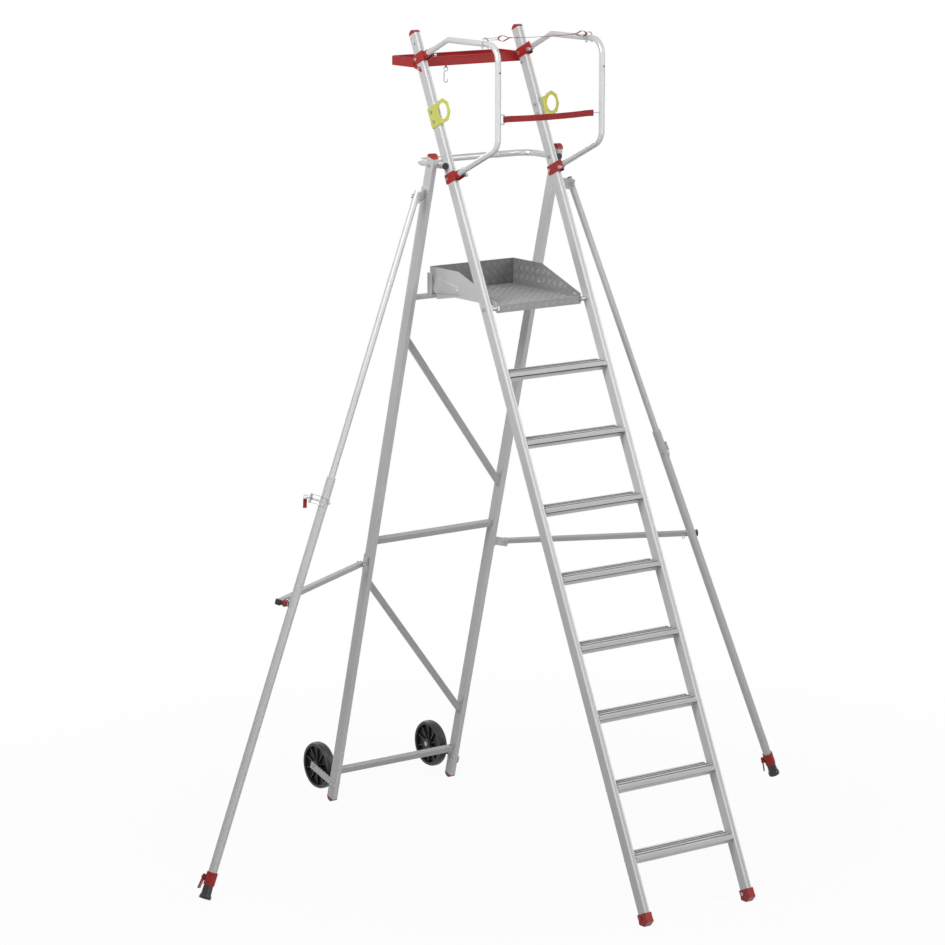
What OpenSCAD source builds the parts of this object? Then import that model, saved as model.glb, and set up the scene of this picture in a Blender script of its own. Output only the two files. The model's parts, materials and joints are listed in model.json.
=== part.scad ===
// Podium step: a leaning ladder with a guarded platform, a folding rear frame on wheels
// and two telescopic stabilisers that spread the base.

/* [Front ladder] */
// Lean of the ladder above the ground, degrees
ladder_angle = 65.1; // [62:0.1:68]
// Stile width, side to side
stile_w = 25; // [22:0.5:28]
// Stile depth, front to rear
stile_d = 46; // [42:0.5:50]
// Stile wall thickness
stile_wall = 2.5; // [2:0.1:4]
// Rounding of the stile edges
stile_round = 4; // [1:0.5:6]
// Width of the shallow groove along the stile's front face
groove_w = 10; // [6:0.5:14]
// Depth of that groove
groove_d = 0.8; // [0.4:0.1:1.2]
// Length of a stile from the ground line to its cap
stile_len = 3607; // [3580:1:3700]
// Height of the cap on a stile
cap_h = 16; // [10:1:24]
// Wall of the red boot on a stile foot
boot_wall = 3; // [2:0.5:5]
// Height of the boot along the stile
boot_h = 50; // [44:1:60]
// Flare of the boot's lower edges, front and rear
boot_lip = 4; // [2:0.5:6]

/* [Treads] */
// Height from one tread to the next
tread_rise = 250; // [240:1:255]
// Tread depth, front to rear
tread_d = 77; // [65:1:79]
// Height of the tread's front web
tread_h = 36; // [28:1:44]
// Height of the tread's nose lip
tread_lip = 13; // [10:0.5:18]
// Tread sheet thickness
tread_t = 3; // [2:0.1:4]
// Setback of the front web behind the nose
tread_web = 27; // [20:1:34]
// Height of the ribs on the tread
rib_h = 2; // [1:0.1:2.4]

/* [Guard rails] */
// Guard rail tube radius
rail_r = 11.5; // [10:0.5:12.5]
// Guard rail tube wall
rail_wall = 2; // [1.5:0.1:3]
// Upper bracket, distance up the stile
rail_top_s = 3506; // [3480:1:3540]
// Lower bracket, distance up the stile
rail_low_s = 3006; // [2970:1:3010]
// Length of the lower arm from the stile to the front post
rail_out = 334; // [300:1:370]
// Length of the upper arm from the stile to its bend
rail_kink = 199; // [170:1:220]
// Bend radius of the guard rail
rail_bend = 62; // [45:1:75]
// Bracket sheet thickness
bracket_t = 3; // [2:0.5:4]
// Bracket height along the stile
bracket_h = 38; // [32:1:44]
// Reach of a bracket socket in front of the stile
socket_d = 34; // [28:1:38]
// Reach of the inner bracket plate in front of the stile
plate_in = 48; // [42:1:60]
// Reach of the outer bracket plate in front of the stile
plate_out = 17; // [10:1:26]
// Reach of the bracket plates behind the stile
plate_back = 3; // [0:0.5:3]
// Bracket bolt behind the stile centre line
bracket_bolt_n = 14; // [8:0.5:15]

/* [Anchor plates] */
// Anchor plate thickness
anchor_t = 4; // [3:0.5:6]
// Anchor plate, distance up the stile
anchor_s = 3260; // [3240:1:3280]
// Anchor plate height along the stile
anchor_h = 84; // [70:1:100]
// Radius of the anchor eye
eye_r = 32; // [25:0.5:36]
// Width of the metal round the eye
eye_rim = 13; // [8:0.5:18]
// Eye centre in front of the stile centre line
eye_out = 72; // [66:1:84]
// Distance between the two anchor bolts
anchor_pitch = 40; // [30:1:50]

/* [Tool tray] */
// Tray depth, front to rear
tray_d = 149; // [110:1:180]
// Tray height
tray_h = 35; // [25:1:50]
// Height of the tray floor above the ground
tray_z = 3141; // [3130:1:3160]
// Distance from the stile's rear face to the tray
tray_gap = 22; // [10:1:40]
// Tray sheet thickness
tray_t = 2; // [1.5:0.1:3]
// Tray bolt, distance up the stile
tray_bolt_s = 3465; // [3455:1:3475]
// Height of the tray ear on the stile
tray_ear = 36; // [30:1:40]
// Hook position to the left of the middle
hook_x = 107; // [60:1:140]
// Hook wire radius
hook_r = 1.8; // [1.2:0.1:2.4]
// Hook loop radius
hook_loop = 9; // [7:0.5:12]
// Hook length between its loops
hook_len = 31; // [26:1:48]

/* [Rear frame] */
// Lean of the rear legs above the ground, degrees
leg_angle = 75; // [73:0.1:77]
// Clear width between the rear legs
frame_w = 590; // [550:1:640]
// Room between a stile and the rear leg beside it
hinge_room = 30; // [28:0.5:36]
// Leg width, side to side
leg_w = 25; // [22:0.5:28]
// Leg depth, front to rear
leg_d = 44; // [40:0.5:48]
// Leg wall thickness
leg_wall = 2.5; // [2:0.1:4]
// Rounding of the leg edges
leg_round = 3; // [1:0.5:5]
// Fold axis, distance up the stile
hinge_s = 3058; // [3050:1:3070]
// Fold axis in front of the leg centre line
hinge_n = 38.7; // [36:0.1:42]
// Length of a leg above the fold axis
leg_top = 22; // [20:1:40]
// Square tube of the crossbars
bar = 25; // [20:0.5:28]
// Square tube that the platform rests on
rest_bar = 18; // [16:0.5:25]
// Crossbar wall thickness
bar_wall = 2; // [1.5:0.1:3]
// Low crossbar, distance up the leg
low_s = 144; // [120:1:180]
// Middle crossbar, distance up the leg
mid_s = 1227; // [1190:1:1260]
// Distance from a crossbar to the end of a diagonal
diagonal_gap = 192; // [150:1:230]
// Distance from the upper diagonal to the platform rest
diagonal_top = 183; // [150:1:200]
// Fold tube radius
fold_r = 13; // [11:0.5:14]
// Fold tube wall
fold_wall = 2.5; // [2:0.1:4]
// Distance from the fold axis back to the fold tube's rear bar
fold_back = 192; // [150:1:230]
// Distance from the fold axis to the front of the fold tube
fold_nose = 11; // [9:0.5:16]
// Bend radius of the fold tube
fold_bend = 60; // [45:1:75]
// Bolt radius
bolt_r = 4; // [3:0.5:5]
// Bolt head radius
head_r = 7; // [6:0.5:8]
// Bolt head height
head_h = 4; // [3:0.5:6]
// Hinge pin radius
pin_r = 5; // [4:0.5:6]

/* [Platform] */
// Height of the platform floor
platform_z = 2245; // [2240:1:2250]
// Gap between a stile and the platform
platform_gap = 33; // [30:0.5:42]
// Platform depth, front to rear
platform_d = 450; // [430:1:460]
// Platform sheet thickness
platform_t = 3; // [2:0.5:4]
// Height of the platform wall above its floor
wall_h = 103; // [85:1:120]
// Length of the full-height wall at the rear
wall_flat = 194; // [150:1:240]
// Depth of the front lip below the floor
lip_h = 30; // [20:1:32]
// Pivot below the floor
pivot_drop = 11; // [9:0.5:13]
// Distance from the pivot forward to the front lip
pivot_front = 6; // [2:0.5:8]
// Hook plate thickness
hook_t = 4; // [3:0.5:6]
// Stud radius
stud_r = 5; // [4:0.5:6]
// Stud height above the floor
stud_up = 55; // [48:1:62]
// Post thickness
post_t = 6; // [4:0.5:8]
// Gap between the platform's hook plate and a post
post_gap = 9; // [6:0.5:10]

/* [Wheels] */
// Wheel radius
wheel_r = 100; // [85:1:105]
// Wheel width
wheel_w = 38; // [30:1:42]
// Number of ribs on a wheel
ribs = 10; // [6:1:12]
// Wheel axle, distance up the leg
wheel_s = 91; // [85:1:110]
// Wheel axle behind the leg centre line
wheel_n = 145; // [140:1:160]
// Wheel arm thickness
arm_t = 6; // [4:0.5:8]
// Wheel arm width
arm_w = 30; // [24:1:40]
// Gap between the wheel and its arm
wheel_gap = 10; // [6:0.5:14]

/* [Stabilisers] */
// Heading of the stabiliser plane, degrees
stab_turn = 36.5; // [33:0.1:40]
// Spread of a stabiliser from its leg, degrees
stab_spread = 27.4; // [25:0.1:29]
// Stabiliser pivot, distance up the leg
stab_s = 2756; // [2740:1:2765]
// Stabiliser pivot outward of the leg centre line
stab_out = 79; // [72:1:90]
// Stabiliser tube behind the leg centre line
stab_back = 18.4; // [16:0.1:22]
// Height of the stabiliser bracket
stab_plate_h = 44; // [38:1:60]
// Inner tube radius
inner_r = 13; // [11:0.5:14]
// Outer tube radius
outer_r = 17.5; // [17:0.5:19]
// Inner tube wall
tube_wall = 2.5; // [2:0.1:3]
// Distance from the pivot down to the outer tube
outer_top = 1148; // [1100:1:1200]
// Number of flutes on the outer tube
flutes = 16; // [10:1:20]
// Distance from the outer tube's top to the lock pin
lock_drop = 100; // [95:1:120]
// Lock pin radius
lock_r = 4; // [3:0.5:5]
// Distance from the tube axis to the lock pin's wing
lock_head = 55; // [45:1:62]
// Half height of the lock pin's wing
lock_wing = 19; // [15:0.5:24]
// Length of the lock pin behind its wing
lock_tail = 23; // [16:1:28]
// Shortest travel of the outer tube upward
slide_up = 80; // [60:1:85]
// Longest travel of the outer tube downward
slide_down = 300; // [200:1:340]
// Height of the red clamp collar
collar_h = 52; // [44:1:60]
// Radius of the clamp collar
collar_r = 22; // [21:0.5:26]
// Turn of the left clamp lever round its tube, degrees
lever_turn_left = 90; // [0:5:180]
// Turn of the right clamp lever round its tube, degrees
lever_turn_right = 180; // [90:5:180]
// Length of a clamp lever below its pin
lever_len = 48; // [36:1:56]
// Thickness of a clamp lever
lever_t = 6; // [4:0.5:8]
// Lean of a closed clamp lever, degrees
lever_lean = 8; // [4:0.5:12]
// Radius of the rubber foot
foot_r = 24; // [22:0.5:26]
// Length of the rubber foot below the collar
foot_len = 54; // [48:1:70]
// Clearance between sliding tubes
tube_gap = 0.4; // [0.3:0.05:0.5]
// Clearance of a pin in a turning joint
pin_gap = 0.06; // [0.02:0.01:0.09]
// Clearance between faces that turn past each other
face_gap = 0.4; // [0.3:0.05:0.6]

/* [Braces] */
// Brace pivot, distance up the leg
brace_s = 1144; // [1130:1:1170]
// Brace pivot outward of the leg centre line
brace_out = 66; // [60:1:74]
// Square tube of a brace
brace_w = 20; // [18:0.5:24]
// Room between the brace and its bracket
brace_room = 3; // [2:0.5:5]
// Brace pivot behind the leg centre line
brace_back = 14.4; // [12:0.1:17]
// Rise of the brace from the leg's square, degrees
brace_rise = 9.6; // [7:0.1:11]
// Sweep of the brace out of the stabiliser plane, degrees
brace_sweep = 4.3; // [4.2:0.05:4.8]
// Length of the brace beyond the stabiliser tube
brace_end = 20; // [16:1:40]
// Length of the black cap on the brace
brace_cap = 14; // [10:1:20]
// Distance from the stabiliser tube to the brace pin
brace_pin_in = 40; // [36:1:50]

/* [Straps] */
// Width of the chest strap
strap_w = 24; // [18:1:30]
// Strap thickness
strap_t = 2; // [1.5:0.1:3]
// Chest strap height above the lower corner of the guard rail
strap_up = 112; // [95:1:130]
// Width of the upper strap
strap_top_w = 12; // [8:0.5:16]
// Distance from the front post back to the upper strap
strap_top_back = 84; // [76:1:100]
// Reach of the wire loop at the chest strap's left end
strap_loop = 18.7; // [14:0.1:24]
// Reach of the wire hook at the chest strap's right end
strap_hook = 35; // [26:1:44]
// Wire radius of the strap fittings
wire_r = 2.5; // [1.8:0.1:3]
// Length of the wire link at the upper strap's left end
link_len = 61; // [50:1:70]
// Height of the eye that a U-bolt leaves above its tube
arch_rise = 9; // [8:0.5:12]

/* [Hidden] */
$fn = 48;

// Overlap used only where a cutter runs past the face it cuts
cut = 1;
// Room used for cutters that clear the whole frame
far = 5000;
// Depth of a plug inside a tube
plug_in = 18;
// Angle by which a bend reaches into the straights beside it
bend_lap = 1;
// Draw-down of a tube's radius in a bend
bend_step = 0.05;

// Widths that follow the rear frame
ladder_w = frame_w - 2*(stile_w + hinge_room);
platform_w = ladder_w - 2*platform_gap;

// Raised lands of a tread, as shares of its depth from the nose
tread_ribs = [[0, 0.13], [0.3, 0.44], [0.6, 0.64], [0.83, 1]];

// Front ladder, from the ground line of its stiles
stile_x = ladder_w/2 + stile_w/2;
stile_in = ladder_w/2;
stile_out = stile_in + stile_w;
stile_start = boot_h/2;
boot_half = stile_d/2 + boot_wall + boot_lip;
boot_side = boot_half/tan(ladder_angle);
boot_bolt = boot_h*0.68;
function st_y(s, n) = s*cos(ladder_angle) + n*sin(ladder_angle);
function st_z(s, n) = s*sin(ladder_angle) - n*cos(ladder_angle);
function nose_y(z) = z/tan(ladder_angle) - stile_d/2/sin(ladder_angle);

// Fold axis and rear legs
fold_y = st_y(hinge_s, 0);
fold_z = st_z(hinge_s, 0);
leg_y = fold_y + (fold_z*cos(leg_angle) + hinge_n)/sin(leg_angle);
leg_x = frame_w/2 + leg_w/2;
leg_in = frame_w/2;
leg_out = leg_in + leg_w;
leg_arch = (leg_d*leg_d/4 + cap_h*cap_h)/(2*cap_h);
leg_start = leg_arch*(1/sin(leg_angle) - 1) + cap_h;
fold_s = (leg_y - fold_y)*cos(leg_angle) + fold_z*sin(leg_angle);
leg_len = fold_s + leg_top;
arm_x = (stile_out + leg_in)/2;
arm_bolt_y = leg_y - fold_z/tan(leg_angle);
function lg_y(s, n) = leg_y - s*cos(leg_angle) + n*sin(leg_angle);
function lg_z(s, n) = s*sin(leg_angle) + n*cos(leg_angle);

// Platform on its pivots and on the rest bar
pivot_z = platform_z - pivot_drop;
pivot_s = pivot_z/sin(ladder_angle);
pivot_y = st_y(pivot_s, 0);
front_y = pivot_y - pivot_front;
bar_drop = rest_bar/2*(sin(leg_angle) + cos(leg_angle));
rest_s = (platform_z - platform_t - face_gap - bar_drop)/sin(leg_angle);
rest_y = lg_y(rest_s, 0);
post_x = platform_w/2 + hook_t + post_gap;
stud_y = rest_y - bar/2;
stud_z = platform_z + stud_up;
slot_angle = 26;

// Wheels
wheel_x = leg_out - wheel_gap - wheel_w/2;
wheel_y = lg_y(wheel_s, wheel_n);
wheel_z = lg_z(wheel_s, wheel_n);

// Stabiliser plane
stab_tilt = atan(cos(stab_turn)/tan(leg_angle));
leg_lean = asin(cos(leg_angle)*sin(stab_turn));
pivot_up = stab_s*sin(leg_angle) - stab_out*sin(leg_lean)*cos(stab_tilt) + stab_back*sin(stab_tilt);
tube_cos = cos(stab_tilt)*cos(stab_spread - leg_lean);
foot_at = (pivot_up - foot_r*sqrt(1 - tube_cos*tube_cos))/tube_cos;
collar_at = foot_at - foot_len - collar_h;
lock_at = outer_top + lock_drop;
tube_bore = inner_r + tube_gap;
neck_r = outer_r + 1;
flute_r = 1.6;

// Brace, crossing behind the stabiliser tube
cross_out = (stab_out + (stab_s - brace_s + brace_out*tan(brace_rise))*tan(stab_spread))
    /(1 + tan(brace_rise)*tan(stab_spread));
cross_at = (cross_out - brace_out)/cos(brace_rise)/cos(brace_sweep);
brace_len = cross_at + brace_end;
pad_back = stab_back + outer_r + face_gap;

// Guard rail path
rail_y = st_y(rail_low_s, -rail_out);
rail_low_z = st_z(rail_low_s, -rail_out);
rail_top_z = st_z(rail_top_s, -rail_kink);
strap_y = rail_y;
strap_z = rail_low_z + strap_up;
strap_top_y = rail_y + strap_top_back;
link_wire = wire_r*0.6;
link_r = wire_r*2.6;
link_z = rail_top_z + rail_r + arch_rise - link_wire*1.2 - 2*face_gap;
arch_x = sqrt(pow(rail_r + wire_r, 2) - pow(link_z - rail_top_z - arch_rise, 2));
link_half = link_len/2 - link_r - link_wire;

// Hand screw on the inner plate of a rail bracket
screw_n = stile_d/2 + plate_in - head_r;
screw_drop = bracket_h/2 - head_r;

// Tray behind the stiles
tray_y = tray_z/tan(ladder_angle) + stile_d/2/sin(ladder_angle) + tray_gap;

// Middle of the object, front to rear, over the ground
origin_y = (wheel_y + wheel_r + st_y(boot_side, -boot_half))/2;

// Turn of the eye's eight-sided rim
eye_corner = 22.5;

// Colours
alu = [0.80, 0.80, 0.81];
red = [0.66, 0.13, 0.14];
black = [0.10, 0.10, 0.11];
steel = [0.62, 0.62, 0.64];
lime = [0.72, 0.72, 0.28];
plate = [0.48, 0.48, 0.49];

module placed() { translate([0, -origin_y, 0]) children(); }
module left_right(side) { if (side < 0) mirror([1, 0, 0]) children(); else children(); }
module both() { for (side = [-1, 1]) left_right(side) children(); }
module on_stile() { rotate([ladder_angle - 90, 0, 0]) children(); }
module on_leg() { translate([0, leg_y, 0]) rotate([90 - leg_angle, 0, 0]) children(); }
module along_x() { rotate([90, 0, 90]) children(); }
module on_fold(s) {
    translate([leg_x, lg_y(s, 0), lg_z(s, 0)])
        rotate([0, 0, -stab_turn]) rotate([stab_tilt, 0, 0]) rotate([0, leg_lean, 0]) children();
}
module on_stab() {
    on_fold(stab_s) translate([stab_out, stab_back, 0]) rotate([0, -stab_spread, 0]) children();
}
module on_brace() {
    on_fold(brace_s) translate([brace_out, brace_back, 0])
        rotate([0, -brace_rise, 0]) rotate([0, 0, brace_sweep]) children();
}

module rounded(w, d, r) {
    square([w - 2*r, d], center = true);
    square([w, d - 2*r], center = true);
    for (x = [-1, 1], y = [-1, 1]) translate([x*(w/2 - r), y*(d/2 - r)]) circle(r);
}
module ring(ro, ri) { difference() { circle(ro); circle(ri); } }
module tube(h, ro, ri) { linear_extrude(h) ring(ro, ri); }
module box_tube(w, d, wall, r, h) {
    linear_extrude(h) difference() {
        rounded(w, d, r);
        square([w - 2*wall, d - 2*wall], center = true);
    }
}
// The spigot of a cap, easy in the tube it closes
module tube_plug(w, d, wall) { square([w - 2*wall - face_gap, d - 2*wall - face_gap], center = true); }
// A round bar along X between two faces
module pin_x(x0, x1, r) { translate([x0, 0, 0]) rotate([0, 90, 0]) cylinder(h = x1 - x0, r = r); }
// A bolt along X whose two heads lie outside the faces x0 and x1
module bolt_x(x0, x1) {
    pin_x(x0 - cut, x1 + cut, bolt_r);
    pin_x(x0 - head_h, x0, head_r);
    pin_x(x1, x1 + head_h, head_r);
}
// A bolt along Y with its heads outside two faces
module bolt_y(y0, y1, r) {
    translate([0, y0 - cut, 0]) rotate([-90, 0, 0]) cylinder(h = y1 - y0 + 2*cut, r = r);
    translate([0, y0 - head_h, 0]) rotate([-90, 0, 0]) cylinder(h = head_h, r = head_r + 2);
    translate([0, y1, 0]) rotate([-90, 0, 0]) cylinder(h = head_h, r = head_r + 2);
}

// Bent bar in the XY plane, and the tube made from it
function heading(a, b) = atan2(b[1] - a[1], b[0] - a[0]);
function turn(a) = a - 360*floor((a + 180)/360);
function bend_at(p, i) = turn(heading(p[i], p[i + 1]) - heading(p[i - 1], p[i]));
function bend_cut(p, i, r) = i == 0 || i == len(p) - 1 ? 0 : r*tan(abs(bend_at(p, i))/2);
module bent_from(p, i, r, ro) {
    l = norm(p[i + 1] - p[i]) - bend_cut(p, i, r) - bend_cut(p, i + 1, r);
    rotate([0, 90, 0]) cylinder(h = l, r = ro);
    if (i < len(p) - 2) {
        t = bend_at(p, i + 1);
        side = t > 0 ? 1 : -1;
        translate([l, side*r, 0]) {
            rotate((t > 0 ? -90 : 90 + t) - bend_lap) rotate_extrude(angle = abs(t) + 2*bend_lap)
                translate([r, 0]) circle(ro - bend_step);
            rotate(t) translate([0, -side*r, 0]) bent_from(p, i + 1, r, ro);
        }
    }
}
module bent_wire(p, r, ro) { translate(p[0]) rotate(heading(p[0], p[1])) bent_from(p, 0, r, ro); }
module bent_tube(p, r, ro, ri) {
    difference() {
        bent_wire(p, r, ro);
        bent_wire(p, r, ri);
    }
}

// Front ladder
module stile_bores() {
    for (s = [rail_top_s, rail_low_s]) translate([0, bracket_bolt_n, s]) pin_x(0, far, bolt_r);
    for (k = [-1, 1]) translate([0, 0, anchor_s + k*anchor_pitch/2]) pin_x(0, far, bolt_r);
    translate([0, stile_d/4, tray_bolt_s]) pin_x(0, far, bolt_r);
    translate([0, 0, hinge_s]) pin_x(0, far, pin_r);
    translate([0, 0, pivot_s]) pin_x(0, far, pin_r);
    translate([0, stile_d/5, boot_bolt]) pin_x(0, far, bolt_r);
}
module stile(side) {
    color(alu) placed() left_right(side) on_stile() difference() {
        translate([stile_x, 0, stile_start])
            box_tube(stile_w, stile_d, stile_wall, stile_round, stile_len - stile_start);
        translate([stile_x - groove_w/2, groove_d - stile_d/2 - cut, -cut]) cube([groove_w, cut, far]);
        stile_bores();
    }
}
module tread_profile() {
    translate([0, -tread_t]) square([tread_d, tread_t]);
    translate([0, -tread_lip]) square([tread_t, tread_lip]);
    translate([tread_web, -tread_h]) square([tread_t, tread_h]);
    translate([tread_d - tread_t, -tread_h]) square([tread_t, tread_h]);
    for (r = tread_ribs) translate([r[0]*tread_d, 0]) square([(r[1] - r[0])*tread_d, rib_h]);
}
module tread(k) {
    color(alu) placed() translate([-stile_in, nose_y(k*tread_rise - tread_lip), k*tread_rise - rib_h])
        along_x() linear_extrude(ladder_w) tread_profile();
}
module tread_1() { tread(1); }
module tread_2() { tread(2); }
module tread_3() { tread(3); }
module tread_4() { tread(4); }
module tread_5() { tread(5); }
module tread_6() { tread(6); }
module tread_7() { tread(7); }
module tread_8() { tread(8); }
// The sole is a low gable, so that its rear half lies flat on the ground
module ladder_feet() {
    boot_w = stile_w + 2*boot_wall;
    side = stile_d/2 + boot_wall;
    color(red) placed() both() on_stile() difference() {
        intersection() {
            translate([stile_x - boot_w/2, 0, 0]) along_x() linear_extrude(boot_w)
                polygon([[0, 0], [boot_half, boot_side], [boot_half, boot_side + boot_lip],
                    [side, boot_side + boot_lip*2], [side, boot_h], [-side, boot_h],
                    [-side, boot_side + boot_lip*2], [-boot_half, boot_side + boot_lip],
                    [-boot_half, boot_side]]);
            translate([stile_x, 0, 0]) linear_extrude(boot_h) rounded(boot_w, 2*boot_half, stile_round);
        }
        translate([stile_x, 0, stile_start]) linear_extrude(far) rounded(stile_w, stile_d, stile_round);
        stile_bores();
    }
}
// Side view of a cap: an arch over the end of a tube
module cap_arch(d) {
    r = (d*d/4 + cap_h*cap_h)/(2*cap_h);
    intersection() {
        translate([0, cap_h - r]) circle(r);
        translate([-d/2, 0]) square([d, cap_h]);
    }
}
module stile_caps() {
    color(red) placed() both() on_stile() {
        translate([stile_in, 0, stile_len]) along_x() linear_extrude(stile_w) cap_arch(stile_d);
        translate([stile_x, 0, stile_len - plug_in])
            linear_extrude(plug_in) tube_plug(stile_w, stile_d, stile_wall);
    }
}

// Guard rails and what hangs on them
rail_path = [[st_y(rail_top_s, -stile_d/2), st_z(rail_top_s, -stile_d/2)],
    [st_y(rail_top_s, -rail_kink), rail_top_z], [rail_y, rail_top_z], [rail_y, rail_low_z],
    [st_y(rail_low_s, -stile_d/2), st_z(rail_low_s, -stile_d/2)]];
module guard_rail(side) {
    color(alu) placed() left_right(side) translate([stile_x, 0, 0]) along_x()
        bent_tube(rail_path, rail_bend, rail_r, rail_r - rail_wall);
}
module rail_bracket() {
    front = stile_d/2;
    half = stile_w/2 + bracket_t;
    difference() {
        union() {
            translate([stile_w/2, -front - plate_out, -bracket_h/2])
                cube([bracket_t, stile_d + plate_out + plate_back, bracket_h]);
            translate([-half, -front - plate_in, -bracket_h/2])
                cube([bracket_t, stile_d + plate_in + plate_back, bracket_h]);
            translate([-half, -front - bracket_t, -bracket_h/2]) cube([2*half, bracket_t, bracket_h]);
            translate([0, -front, 0]) rotate([90, 0, 0]) cylinder(h = socket_d, r = rail_r + bracket_t);
        }
        rotate([90, 0, 0]) cylinder(h = far, r = rail_r);
        translate([0, bracket_bolt_n, 0]) pin_x(-far, far, bolt_r);
        translate([0, -screw_n, -screw_drop]) pin_x(-far, 0, bolt_r);
    }
}
module rail_brackets() {
    color(red) placed() both() on_stile()
        for (s = [rail_top_s, rail_low_s]) translate([stile_x, 0, s]) rail_bracket();
}
module anchor_plates() {
    color(lime) placed() both() on_stile() translate([stile_out, 0, anchor_s]) along_x() linear_extrude(anchor_t)
        difference() {
            union() {
                translate([-eye_out, 0]) rotate(eye_corner) circle((eye_r + eye_rim)/cos(eye_corner), $fn = 8);
                translate([eye_r - eye_out, -anchor_h/2]) square([eye_out - eye_r + stile_d/2, anchor_h]);
            }
            translate([-eye_out, 0]) circle(eye_r);
            for (k = [-1, 1]) translate([0, k*anchor_pitch/2]) circle(bolt_r);
        }
}
module ladder_bolts() {
    color(steel) placed() both() on_stile() {
        for (s = [rail_top_s, rail_low_s]) {
            translate([0, bracket_bolt_n, s]) bolt_x(stile_in - bracket_t, stile_out + bracket_t);
            translate([0, -screw_n, s - screw_drop]) {
                pin_x(stile_in - bracket_t - head_h*3, stile_in - bracket_t, head_r);
                pin_x(stile_in - bracket_t - cut, stile_in, bolt_r);
            }
        }
        for (k = [-1, 1])
            translate([0, 0, anchor_s + k*anchor_pitch/2]) bolt_x(stile_in, stile_out + anchor_t);
        translate([0, stile_d/4, tray_bolt_s]) bolt_x(stile_in, stile_out + tray_t);
        translate([0, stile_d/5, boot_bolt]) bolt_x(stile_in - boot_wall, stile_out + boot_wall);
    }
}
module tool_tray() {
    w = stile_out + tray_t;
    color(red) placed() difference() {
        union() {
            difference() {
                translate([-w, tray_y, tray_z]) cube([2*w, tray_d, tray_h]);
                translate([tray_t - w, tray_y + tray_t, tray_z + tray_t])
                    cube([2*(w - tray_t), tray_d - 2*tray_t, tray_h]);
            }
            both() translate([stile_out, 0, 0]) along_x() linear_extrude(tray_t)
                polygon([[tray_y + tray_t, tray_z], [tray_y + tray_t, tray_z + tray_h/4],
                    [st_y(tray_bolt_s + tray_ear*0.1, 0), st_z(tray_bolt_s + tray_ear*0.1, 0)],
                    [st_y(tray_bolt_s - tray_ear/2, 0), st_z(tray_bolt_s - tray_ear/2, 0)]]);
            translate([-hook_x - tray_t/2, tray_y, tray_z - hook_loop])
                cube([tray_t, hook_loop, hook_loop]);
        }
        on_stile() translate([0, stile_d/4, tray_bolt_s]) pin_x(-far, far, bolt_r);
        translate([0, tray_y + hook_loop/2, tray_z - hook_loop/2]) pin_x(-far/2, far/2, hook_r + tube_gap);
    }
}
module tray_hook() {
    top = tray_z - hook_loop/2 - hook_loop;
    color(steel) placed() translate([-hook_x, tray_y + hook_loop/2, top]) rotate([90, 0, 0]) {
        rotate(-90) rotate_extrude(angle = 290) translate([hook_loop, 0]) circle(hook_r);
        translate([0, -hook_loop, 0]) rotate([0, 90, 180]) cylinder(h = hook_loop/2, r = hook_r);
        translate([-hook_loop/2, -hook_loop*1.5, 0])
            rotate(90) rotate_extrude(angle = 90) translate([hook_loop/2, 0]) circle(hook_r);
        translate([-hook_loop, -hook_loop*1.5, 0]) rotate([90, 0, 0]) cylinder(h = hook_len, r = hook_r);
        translate([0, -hook_loop*1.5 - hook_len, 0])
            rotate(180) rotate_extrude(angle = 200) translate([hook_loop, 0]) circle(hook_r);
    }
}
module u_bolt() {
    r = rail_r + wire_r;
    drop = rail_r*1.6;
    translate([0, 0, arch_rise]) rotate([90, 0, 0]) rotate_extrude(angle = 180) translate([r, 0]) circle(wire_r);
    for (x = [-r, r]) {
        translate([x, 0, -drop]) cylinder(h = drop + arch_rise, r = wire_r);
        translate([x, 0, -rail_r - wire_r]) cylinder(h = wire_r, r = wire_r*2);
    }
}
module strap_hardware() {
    post_in = stile_x - rail_r;
    loop = strap_w*0.75;
    color(steel) placed() {
        both() translate([stile_x, strap_top_y, rail_top_z]) u_bolt();
        difference() {
            translate([0, strap_y, strap_z]) rotate([90, 0, 0])
                bent_wire([[-stile_x, -loop], [strap_loop - post_in, -loop], [strap_loop - post_in, loop],
                    [-stile_x, loop]], wire_r*2, wire_r);
            both() translate([stile_x, strap_y, 0]) cylinder(h = far, r = rail_r);
        }
        difference() {
            translate([0, strap_y, strap_z]) {
                pin_x(post_in - strap_hook, stile_x, wire_r*0.8);
                translate([post_in - strap_hook, 0, -strap_w*0.4]) cylinder(h = strap_w*0.8, r = wire_r);
            }
            both() translate([stile_x, strap_y, 0]) cylinder(h = far, r = rail_r);
        }
        translate([link_len/2 - stile_x, strap_top_y, link_z]) rotate([30, 0, 0]) link_ring();
    }
}
// A long wire ring whose outer end passes under the arch of the U-bolt
module link_ring() {
    for (x = [-1, 1]) translate([x*link_half, 0, 0]) rotate(x > 0 ? -90 : 90)
        rotate_extrude(angle = 180) translate([link_r, 0]) circle(link_wire);
    for (y = [-link_r, link_r]) translate([-link_half, y, 0]) rotate([0, 90, 0])
        cylinder(h = 2*link_half, r = link_wire);
}
module strap_upper() {
    x0 = link_len - stile_x;
    x1 = stile_x - arch_x - wire_r - face_gap;
    color(red) placed() translate([x0, strap_top_y - strap_top_w/2, link_z - strap_t/2])
        cube([x1 - x0, strap_top_w, strap_t]);
}
module strap_lower() {
    post_in = stile_x - rail_r;
    x0 = strap_loop - post_in + wire_r;
    x1 = post_in - strap_hook - wire_r;
    color(red) placed() translate([x0, strap_y - strap_t/2, strap_z - strap_w/2])
        cube([x1 - x0, strap_t, strap_w]);
}
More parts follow.
